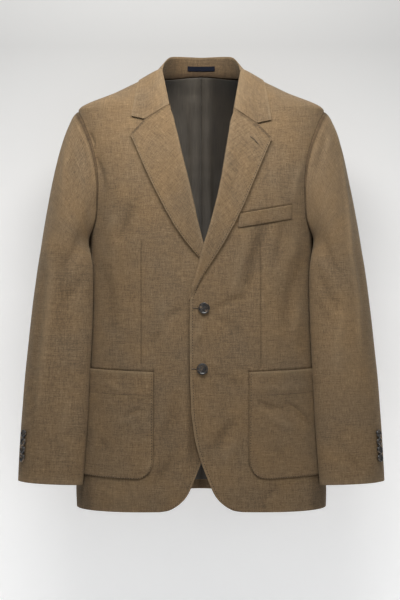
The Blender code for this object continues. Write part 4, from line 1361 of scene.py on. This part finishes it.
def sampled(points, row, column):
    """Points read between the cells of a grid, at fractional rows and columns."""
    row = np.clip(np.asarray(row, float), 0, points.shape[0] - 1.001)
    column = np.clip(np.asarray(column, float), 0, points.shape[1] - 1.001)
    r, c = row.astype(int), column.astype(int)
    fr, fc = (row - r)[:, None], (column - c)[:, None]
    low = points[r, c] * (1 - fc) + points[r, c + 1] * fc
    high = points[r + 1, c] * (1 - fc) + points[r + 1, c + 1] * fc
    return low * (1 - fr) + high * fr


def edge_path(points, row, column, side, above):
    """A path on a grid and the way out of the cloth along it. One row or column stands for all."""
    row, column = np.broadcast_arrays(row, column)
    out = sampled(normals_of(points), row, column)
    return (sampled(points, row, column) + out * above) * (side, 1, 1), out * (side, 1, 1)


# A stitch: four rings of two corners, each ring its place along, its height and its width
STITCH_RINGS = ((-1, -0.2, 0.55), (-0.6, 0.34, 1), (0.6, 0.34, 1), (1, -0.2, 0.55))
STITCH_FACES = ((0, 2, 3, 1), (2, 4, 5, 3), (4, 6, 7, 5), (0, 1, 7, 6), (0, 6, 4, 2), (1, 3, 5, 7))


def dashes(name, paths, spacing, length, width, look):
    """Short stitches laid along paths, as one piece."""
    verts, faces = [], []
    for path, out in paths:
        along = run_of(path)
        places = np.arange(spacing / 2, along[-1], spacing)
        at, up = read_along(path, along, places), read_along(out, along, places)
        forward = unit(read_along(path, along, places + 0.4) - at)
        sideways = unit(np.cross(up, forward))
        for i in range(len(places)):
            faces += [tuple(len(verts) + v for v in face) for face in STITCH_FACES]
            verts += [
                at[i] + forward[i] * end * length / 2 + up[i] * lift
                + sideways[i] * hand * spread * width / 2
                for end, lift, spread in STITCH_RINGS
                for hand in (-1, 1)
            ]
    mesh = bpy.data.meshes.new(name)
    mesh.from_pydata((np.array(verts) * MM).tolist(), [], faces)
    mesh.shade_smooth()
    mesh.materials.append(look)
    obj = linked(name, mesh)
    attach(obj, "root")


def skinned(builder, rings):
    """Faces between rings of vertices, closed at both ends."""
    for low, high in zip(rings, rings[1:]):
        for k in range(len(low)):
            after = (k + 1) % len(low)
            builder.faces.new((low[k], low[after], high[after], high[k]))
    builder.faces.new(rings[0][::-1])
    builder.faces.new(rings[-1])


def round_turn(sides):
    return [2 * math.pi * k / sides for k in range(sides)]


def lathe(builder, profile, sides, centre=(0, 0)):
    """A turned form about Z, from radius and height pairs."""
    x, y = centre
    skinned(builder, [
        [
            builder.verts.new((x + radius * math.cos(t), y + radius * math.sin(t), height))
            for t in round_turn(sides)
        ]
        for radius, height in profile
    ])


def tube(builder, path, radius, sides):
    """A round strand along a path."""
    points, rings = [Vector(p) for p in path], []
    for i, place in enumerate(points):
        ahead = (points[min(i + 1, len(points) - 1)] - points[max(i - 1, 0)]).normalized()
        across = ahead.orthogonal().normalized()
        upward = ahead.cross(across)
        ring = [
            builder.verts.new(place + (across * math.cos(t) + upward * math.sin(t)) * radius)
            for t in round_turn(sides)
        ]
        far = ring[sides // 2]
        if rings and (rings[-1][0].co - ring[0].co).length > (rings[-1][0].co - far.co).length:
            ring = ring[sides // 2:] + ring[:sides // 2]
        rings.append(ring)
    skinned(builder, rings)


def built(builder, name):
    """A linked object from a builder, which is freed."""
    mesh = bpy.data.meshes.new(name)
    builder.to_mesh(mesh)
    builder.free()
    return linked(name, mesh)


def button_mesh(name, diameter, look, thread):
    """A four-hole horn button with a raised rim and its thread."""
    radius, thick = diameter / 2 * MM, BUTTON_THICK * MM
    hole, spread = 0.115 * radius, 0.22 * radius
    builder, cutter = bmesh.new(), bmesh.new()
    lathe(builder, [(r * radius, h * thick) for r, h in BUTTON_PROFILE], 56)
    for sx in (-1, 1):
        for sy in (-1, 1):
            profile = [(r * hole, h * thick) for r, h in HOLE_PROFILE]
            lathe(cutter, profile, 14, (sx * spread, sy * spread))
    blank, tool = built(builder, name + "_blank"), built(cutter, name + "_cutter")
    boolean = blank.modifiers.new("Holes", "BOOLEAN")
    boolean.object = tool
    boolean.operation = "DIFFERENCE"
    boolean.solver = "EXACT"
    drilled = blank.evaluated_get(bpy.context.evaluated_depsgraph_get())
    done = bpy.data.meshes.new_from_object(drilled)
    bpy.data.objects.remove(blank)
    bpy.data.objects.remove(tool)
    done.name = name
    done.materials.clear()
    done.materials.append(look)
    done.materials.append(thread)
    builder = bmesh.new()
    builder.from_mesh(done)
    horn_faces = len(builder.faces)
    for sx in (-1, 1):
        for k in (-1, 0, 1):
            strand = []
            for share in np.linspace(0, 1, 9).tolist():
                bow = math.sin(math.pi * share)
                x = sx * spread + k * hole * 0.55 * (0.5 + 0.5 * bow)
                strand.append((x, (share * 2 - 1) * spread, thick * (0.52 + 0.26 * bow)))
            tube(builder, strand, 0.26 * MM, 6)
    builder.faces.ensure_lookup_table()
    for face in builder.faces[horn_faces:]:
        face.material_index = 1
    builder.to_mesh(done)
    builder.free()
    done.shade_smooth()
    done.set_sharp_from_angle(angle=math.radians(42))
    return done


def set_button(node, mesh, seat, normal, spin):
    """A copy of a button at its place. The node's object sits at the origin: the mesh is moved."""
    turn = Vector(normal).normalized().to_track_quat("Z", "Y").to_matrix().to_4x4()
    copy = mesh.copy()
    copy.name = "horn_" + node
    copy.transform(Matrix.Rotation(spin, 4, "Z"))
    copy.transform(Matrix.Translation(Vector(seat) * MM) @ turn)
    obj = linked("horn_" + node, copy)
    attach(obj, "root")
    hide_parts(node)


def on_left_front(across, height, above):
    """Places on the left front with its creases, and the way out of the cloth there."""
    height = np.full(np.shape(across), height)
    spot = angle_at(across, height), height
    rise = front_lift(*spot, True) + front_field(body(*spot), 1) + above
    path = body(*spot, rise)
    return path, body(*spot, rise + 1) - path


def make_buttons(look, thread):
    large = button_mesh("horn_large", FRONT_BUTTON, look, thread)
    small = button_mesh("horn_small", CUFF_BUTTON, look, thread)
    for k, (which, (across, height)) in enumerate(FRONT_BUTTONS.items()):
        near, out = on_left_front([across], height, 0.5)
        set_button("button_front_" + which, large, near[0], out[0], 0.5 + 0.7 * k)
    sleeve = sleeve_points(1)
    before, after = sleeve[:, CUFF_BUTTON_CELL], sleeve[:, CUFF_BUTTON_CELL + 1]
    middle = (before + after) / 2
    for label, side in SIDES:
        flip = np.array((side, 1, 1))
        for i in range(4):
            height = CUFF_BUTTON_TOP - i * CUFF_BUTTON_STEP
            row = int(np.argmax(middle[:, 2] < height))
            up = middle[row - 1] - middle[row]
            seat = middle[row] + up * (height - middle[row, 2]) / up[2]
            normal = np.cross(up, after[row] - before[row])
            normal *= np.sign(normal[0]) / np.linalg.norm(normal)
            lean = normal + (0, 0, 0.16 - 0.05 * (i % 2))
            node = f"button_cuff_{label}_{i + 1}"
            set_button(node, small, (seat + normal * 1.1) * flip, lean * flip, 0.4 * i + 0.2 * side)


def make_label(look):
    """The bare woven neck label on the inside of the stand."""
    f = COLLAR_FINE
    half = collar_half("left", f)
    bottom, top = half[:9 * f, 0], half[:9 * f, 3 * f]
    across, height = np.meshgrid(
        np.linspace(-LABEL["half_width"], LABEL["half_width"], 61),
        np.linspace(LABEL["bottom"], LABEL["top"], 12),
    )
    (low_y, low_z), (high_y, high_z) = [
        [np.interp(np.abs(across), line[:, 0], line[:, c]) for c in (1, 2)]
        for line in (bottom, top)
    ]
    share = (height - low_z) / (high_z - low_z)
    points = np.stack([across, low_y + (high_y - low_y) * share - LABEL["clear"], height], axis=-1)
    cloth("label", points, points[..., (0, 2)], LABEL_WALL, look, outward=True, held="laid",
          rests_on=["cloth_collar"], slot="label")


def buttonhole(name, path, out, width, look):
    """A worked buttonhole: stitches set close across a line."""
    dashes(name, [(path, out)], 0.55, 0.5, width, look)


def make_stitching(grids, look, dark):
    """Pick stitches just inside the turned edges, and the worked buttonholes."""
    edge, mouths = [], []
    for label, side in SIDES:
        rows = np.linspace(1, 7.6 * BODY_FINE, 160)
        edge.append(edge_path(grids["front_" + label], rows, 1.9, side, 0.05))
        lapel = grids["lapel_" + label]
        last = lapel.shape[1] - 1
        rows = np.linspace(4, len(lapel) - 3, 160)
        width = np.linalg.norm(lapel[:, -1] - lapel[:, 3 * LAPEL_FINE], axis=1) / (7 * LAPEL_FINE)
        inset = 2.6 / np.interp(rows, np.arange(len(width)), np.maximum(width, 0.4))
        edge.append(edge_path(lapel, rows, last - inset, side, SHELL))
        notch = np.linspace(last - 3 * LAPEL_FINE, last - 2, 30)
        edge.append(edge_path(lapel, len(lapel) - 2.0, notch, side, SHELL))
        pocket = grids["pocket_" + label]
        rows, columns = pocket.shape[:2]
        down = np.linspace(rows - 1.2, 1, 120)
        along = np.linspace(1.2, columns - 2.2, 160)
        edge.append(edge_path(pocket, down, 1.2, side, LIGHT))
        edge.append(edge_path(pocket, 0.8, along, side, LIGHT))
        edge.append(edge_path(pocket, down, columns - 2.2, side, LIGHT))
        row = rows - 1 - MOUTH_DROP / (POCKET_HEIGHT / (rows - 1))
        mouths.append(edge_path(pocket, row, np.linspace(1, columns - 2, 120), side, LIGHT))
    collar = grids["collar"]
    rows = np.linspace(3, len(collar) - 4, 400)
    edge.append(edge_path(collar, rows, collar.shape[1] - 2.0, 1, SHELL))
    # The stitches are real; their near-black thread is darker than the cloth as painted shade for
    # the dimples they make.
    dashes("pick_stitches", edge, 4.6, 2.1, 1.0, dark)
    dashes("mouth_stitches", mouths, 3.1, 2.2, 0.6, dark)
    for k, (across, height) in enumerate(FRONT_BUTTONS.values()):
        path, out = on_left_front(np.linspace(across - 19, across + 3, 40), height, 0.1)
        buttonhole(f"buttonhole_{k + 1}", path, out, 2.4, look)
    lapel = grids["lapel_left"]
    ends = []
    for goal in from_pixels([(250.5, 135.5), (259.4, 143.3)]):
        far = np.linalg.norm(lapel[:, 3 * LAPEL_FINE:, (0, 2)] - goal, axis=-1)
        r, c = np.unravel_index(np.argmin(far), far.shape)
        ends.append((r, c + 3 * LAPEL_FINE))
    rows, columns = np.linspace(*ends, 40).T
    path, out = edge_path(lapel, rows, columns, 1, SHELL + 0.05)
    buttonhole("lapel_buttonhole", path, out, 2.2, look)


# ---------------------------------------------------------------- stage

WALL_LOW, WALL_HIGH = -1.0, 0.2
WALL_TONES = (  # share of the height, tone, glow: painted light and shade that even out the lamps, darker and glowing less towards the top
    (0.0, 0.80, 0.45), (0.11, 0.80, 0.41), (0.30, 0.78, 0.36),
    (0.50, 0.74, 0.265), (0.72, 0.62, 0.07), (0.90, 0.45, 0.0),
)
WALL_BACK = 0.175
FLOOR = -1.06
FLOOR_TONES = ((0.3, (0.78, 0.78, 0.78)), (0.7, (0.82, 0.82, 0.82)))
LAMPS = {  # place, target, size, watts, colour
    "key": ((-0.06, -0.72, 0.63), (0, 0, -0.12), (1.1, 0.45), 20.8, (1.0, 0.99, 0.965)),
    "fill": ((0.7, -2.4, -0.7), (0, 0, -0.5), (1.6, 1.4), 7, (0.98, 0.99, 1.0)),
    "behind": ((0.5, 2.3, 0.9), (0, 0, -0.4), (1.6, 1.2), 22, (1.0, 0.99, 0.97)),
}


def plane(name, corners, look):
    mesh = bpy.data.meshes.new(name)
    mesh.from_pydata(corners, [], [(0, 1, 2, 3)])
    mesh.materials.append(look)
    linked(name, mesh)


def wall_look():
    """Pale wall, seen from the front only, with a painted glow that grows towards the bottom and a
    colour that darkens towards the top.
    """
    tree = Tree("pale_wall")
    share = tree.minus(tree.parted(tree.where())[2], WALL_LOW)
    share = tree.math("DIVIDE", share, WALL_HIGH - WALL_LOW)
    tones, glows = [
        [(row[0], (row[column],) * 3) for row in WALL_TONES] for column in (1, 2)
    ]
    tree.finish({
        "Base Color": tree.ramp(share, tones),
        "Emission Color": tree.ramp(share, glows),
        "Emission Strength": 1.0,
        "Roughness": 1.0,
        "Specular IOR Level": 0.0,
    })
    seen_from_behind = tree.new("NewGeometry").outputs["Backfacing"]
    clear = tree.new("BsdfTransparent").outputs[0]
    choose = tree.new("MixShader", {0: seen_from_behind, 1: tree.shader.outputs[0], 2: clear})
    tree.put(choose.outputs[0], tree.nodes["Material Output"].inputs["Surface"])
    return tree.material


def lamp(name, place, target, size, power_w, colour):
    light = bpy.data.lights.new(name, "AREA")
    light.shape = "RECTANGLE"
    light.size, light.size_y = size
    light.energy = power_w
    light.color = colour
    obj = linked(name, light)
    obj.location = place
    obj.rotation_euler = (Vector(target) - Vector(place)).to_track_quat("-Z", "Y").to_euler()


def make_stage():
    corners = ((-4, FLOOR), (4, FLOOR), (4, 3), (-4, 3))
    plane("wall", [(x, WALL_BACK, z) for x, z in corners], wall_look())
    tree = Tree("pale_floor")
    tone = tree.ramp(tree.noise(tree.where(), 4.0), FLOOR_TONES)
    floor = tree.finish({"Base Color": tone, "Roughness": 0.9})
    plane("floor", [(x, y, FLOOR) for x, y in ((-5, -6), (5, -6), (5, 4), (-5, 4))], floor)
    scene = bpy.context.scene
    scene.world = bpy.data.worlds.new("studio")
    scene.world.use_nodes = True
    background = scene.world.node_tree.nodes["Background"]
    background.inputs["Color"].default_value = (0.92, 0.95, 1.0, 1)
    background.inputs["Strength"].default_value = 0.20
    for name, settings in LAMPS.items():
        lamp(name, *settings)
    camera = bpy.data.cameras.new("camera")
    camera.sensor_width = 24.0
    camera.lens = camera.sensor_width * FOCAL_PIXELS / 1032
    camera.shift_x = -1.2 / 600
    camera.clip_end = 50
    view = linked("camera", camera)
    view.location = (0, CAMERA_BACK * MM, CAMERA_HEIGHT * MM)
    view.rotation_euler = (math.radians(90), 0, 0)
    scene.camera = view
    scene.view_settings.view_transform = "Standard"
    scene.view_settings.look = "None"


# ---------------------------------------------------------------- seams on the cloth maps, in metres


def pocket_outline():
    """The pocket's place on the front's cloth map: left, right, bottom, lean and corner."""
    left, right = (pocket_start() - 0.6) * MM, (pocket_start() + POCKET_WIDTH + 0.6) * MM
    return left, right, POCKET_CUT, POCKET_SLOPE / POCKET_WIDTH, POCKET_ROUND * MM


def mouth_line():
    left, right, _, slope, _ = pocket_outline()
    top = POCKET_TOP * MM + 0.0010
    return [((left, top), (right, top + slope * (right - left)))]


def welt_lines():
    """The welt's top, outer end and bottom on the left front's cloth map."""
    start = welt_start()
    end, high = start + WELT["length"] + 0.5, WELT["top"] + 0.6
    corners = (
        (start, high), (end, high + WELT["rise"]),
        (end, high + WELT["rise"] - WELT["height"]), (start, high - WELT["height"] - 0.8),
    )
    corners = [(x * MM, z * MM) for x, z in corners]
    return list(zip(corners, corners[1:]))


def dart(label):
    across, *heights = (103.1, -307.0, -522.0) if label == "left" else (104.2, -305.4, -516.0)
    around = wrapped_at(angle_at([across, across], heights), heights)
    return [tuple((x * MM, z * MM) for x, z in zip(around, heights))]


def sleeve_seams():
    """The hind-arm seam, the vent's edge and the fore-arm seam, from turn and height."""
    lines = (
        ((318, -80), (330, -330)), ((330, -330), (357, -560)), ((6, -610), (18, -727)),
        ((158, -330), (164, -727)),
    )
    reach = SLEEVE_MAP_RADIUS * MM
    return [[(math.radians(turn) * reach, height * MM) for turn, height in line] for line in lines]


def main():
    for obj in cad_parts.values():
        obj.data.materials.clear()
    inner = satin("lining_twill", (0.056, 0.047, 0.037), (0.100, 0.085, 0.066), 900.0, 0.3, 0.36)
    facing = linen("inside", 0.9)
    grids = {}
    for label, side in SIDES:
        seed = 0.31 if side > 0 else 0.77
        lines = dart(label) + mouth_line() + (welt_lines() if side > 0 else [])
        look = linen("front_" + label, seed, lines, pocket=pocket_outline())
        grids["front_" + label] = make_front(label, side, look, inner)
        make_back(label, side, linen("back_" + label, seed + 0.2), facing)
        make_lining(label, side, inner)
        look = linen("lapel_" + label, seed + 0.4, turn=LAPEL_TURN[label])
        grids["lapel_" + label] = make_lapel(label, side, look)
        make_sleeve(label, side, linen("sleeve_" + label, seed + 0.6, sleeve_seams()), inner)
        grids["pocket_" + label] = make_pocket(label, side, linen("pocket_" + label, seed + 0.8))
    make_welt(linen("welt", 1.9, turn=0.1))
    grids["collar"] = make_collar(linen("collar", 2.4))
    make_buttons(horn("horn"), thread_look("button_thread", (0.055, 0.044, 0.034)))
    navy = (0.004, 0.005, 0.010), (0.009, 0.011, 0.019)
    make_label(satin("label_navy", *navy, 1600.0, 0.0, 0.62, 0.05))
    hole_thread = thread_look("hole_thread", (0.115, 0.082, 0.052))
    # The pick thread is near black: painted shade for the stitch dimples, not the thread's own
    # colour.
    make_stitching(grids, hole_thread, thread_look("pick_thread", (0.022, 0.015, 0.010)))
    make_stage()


main()
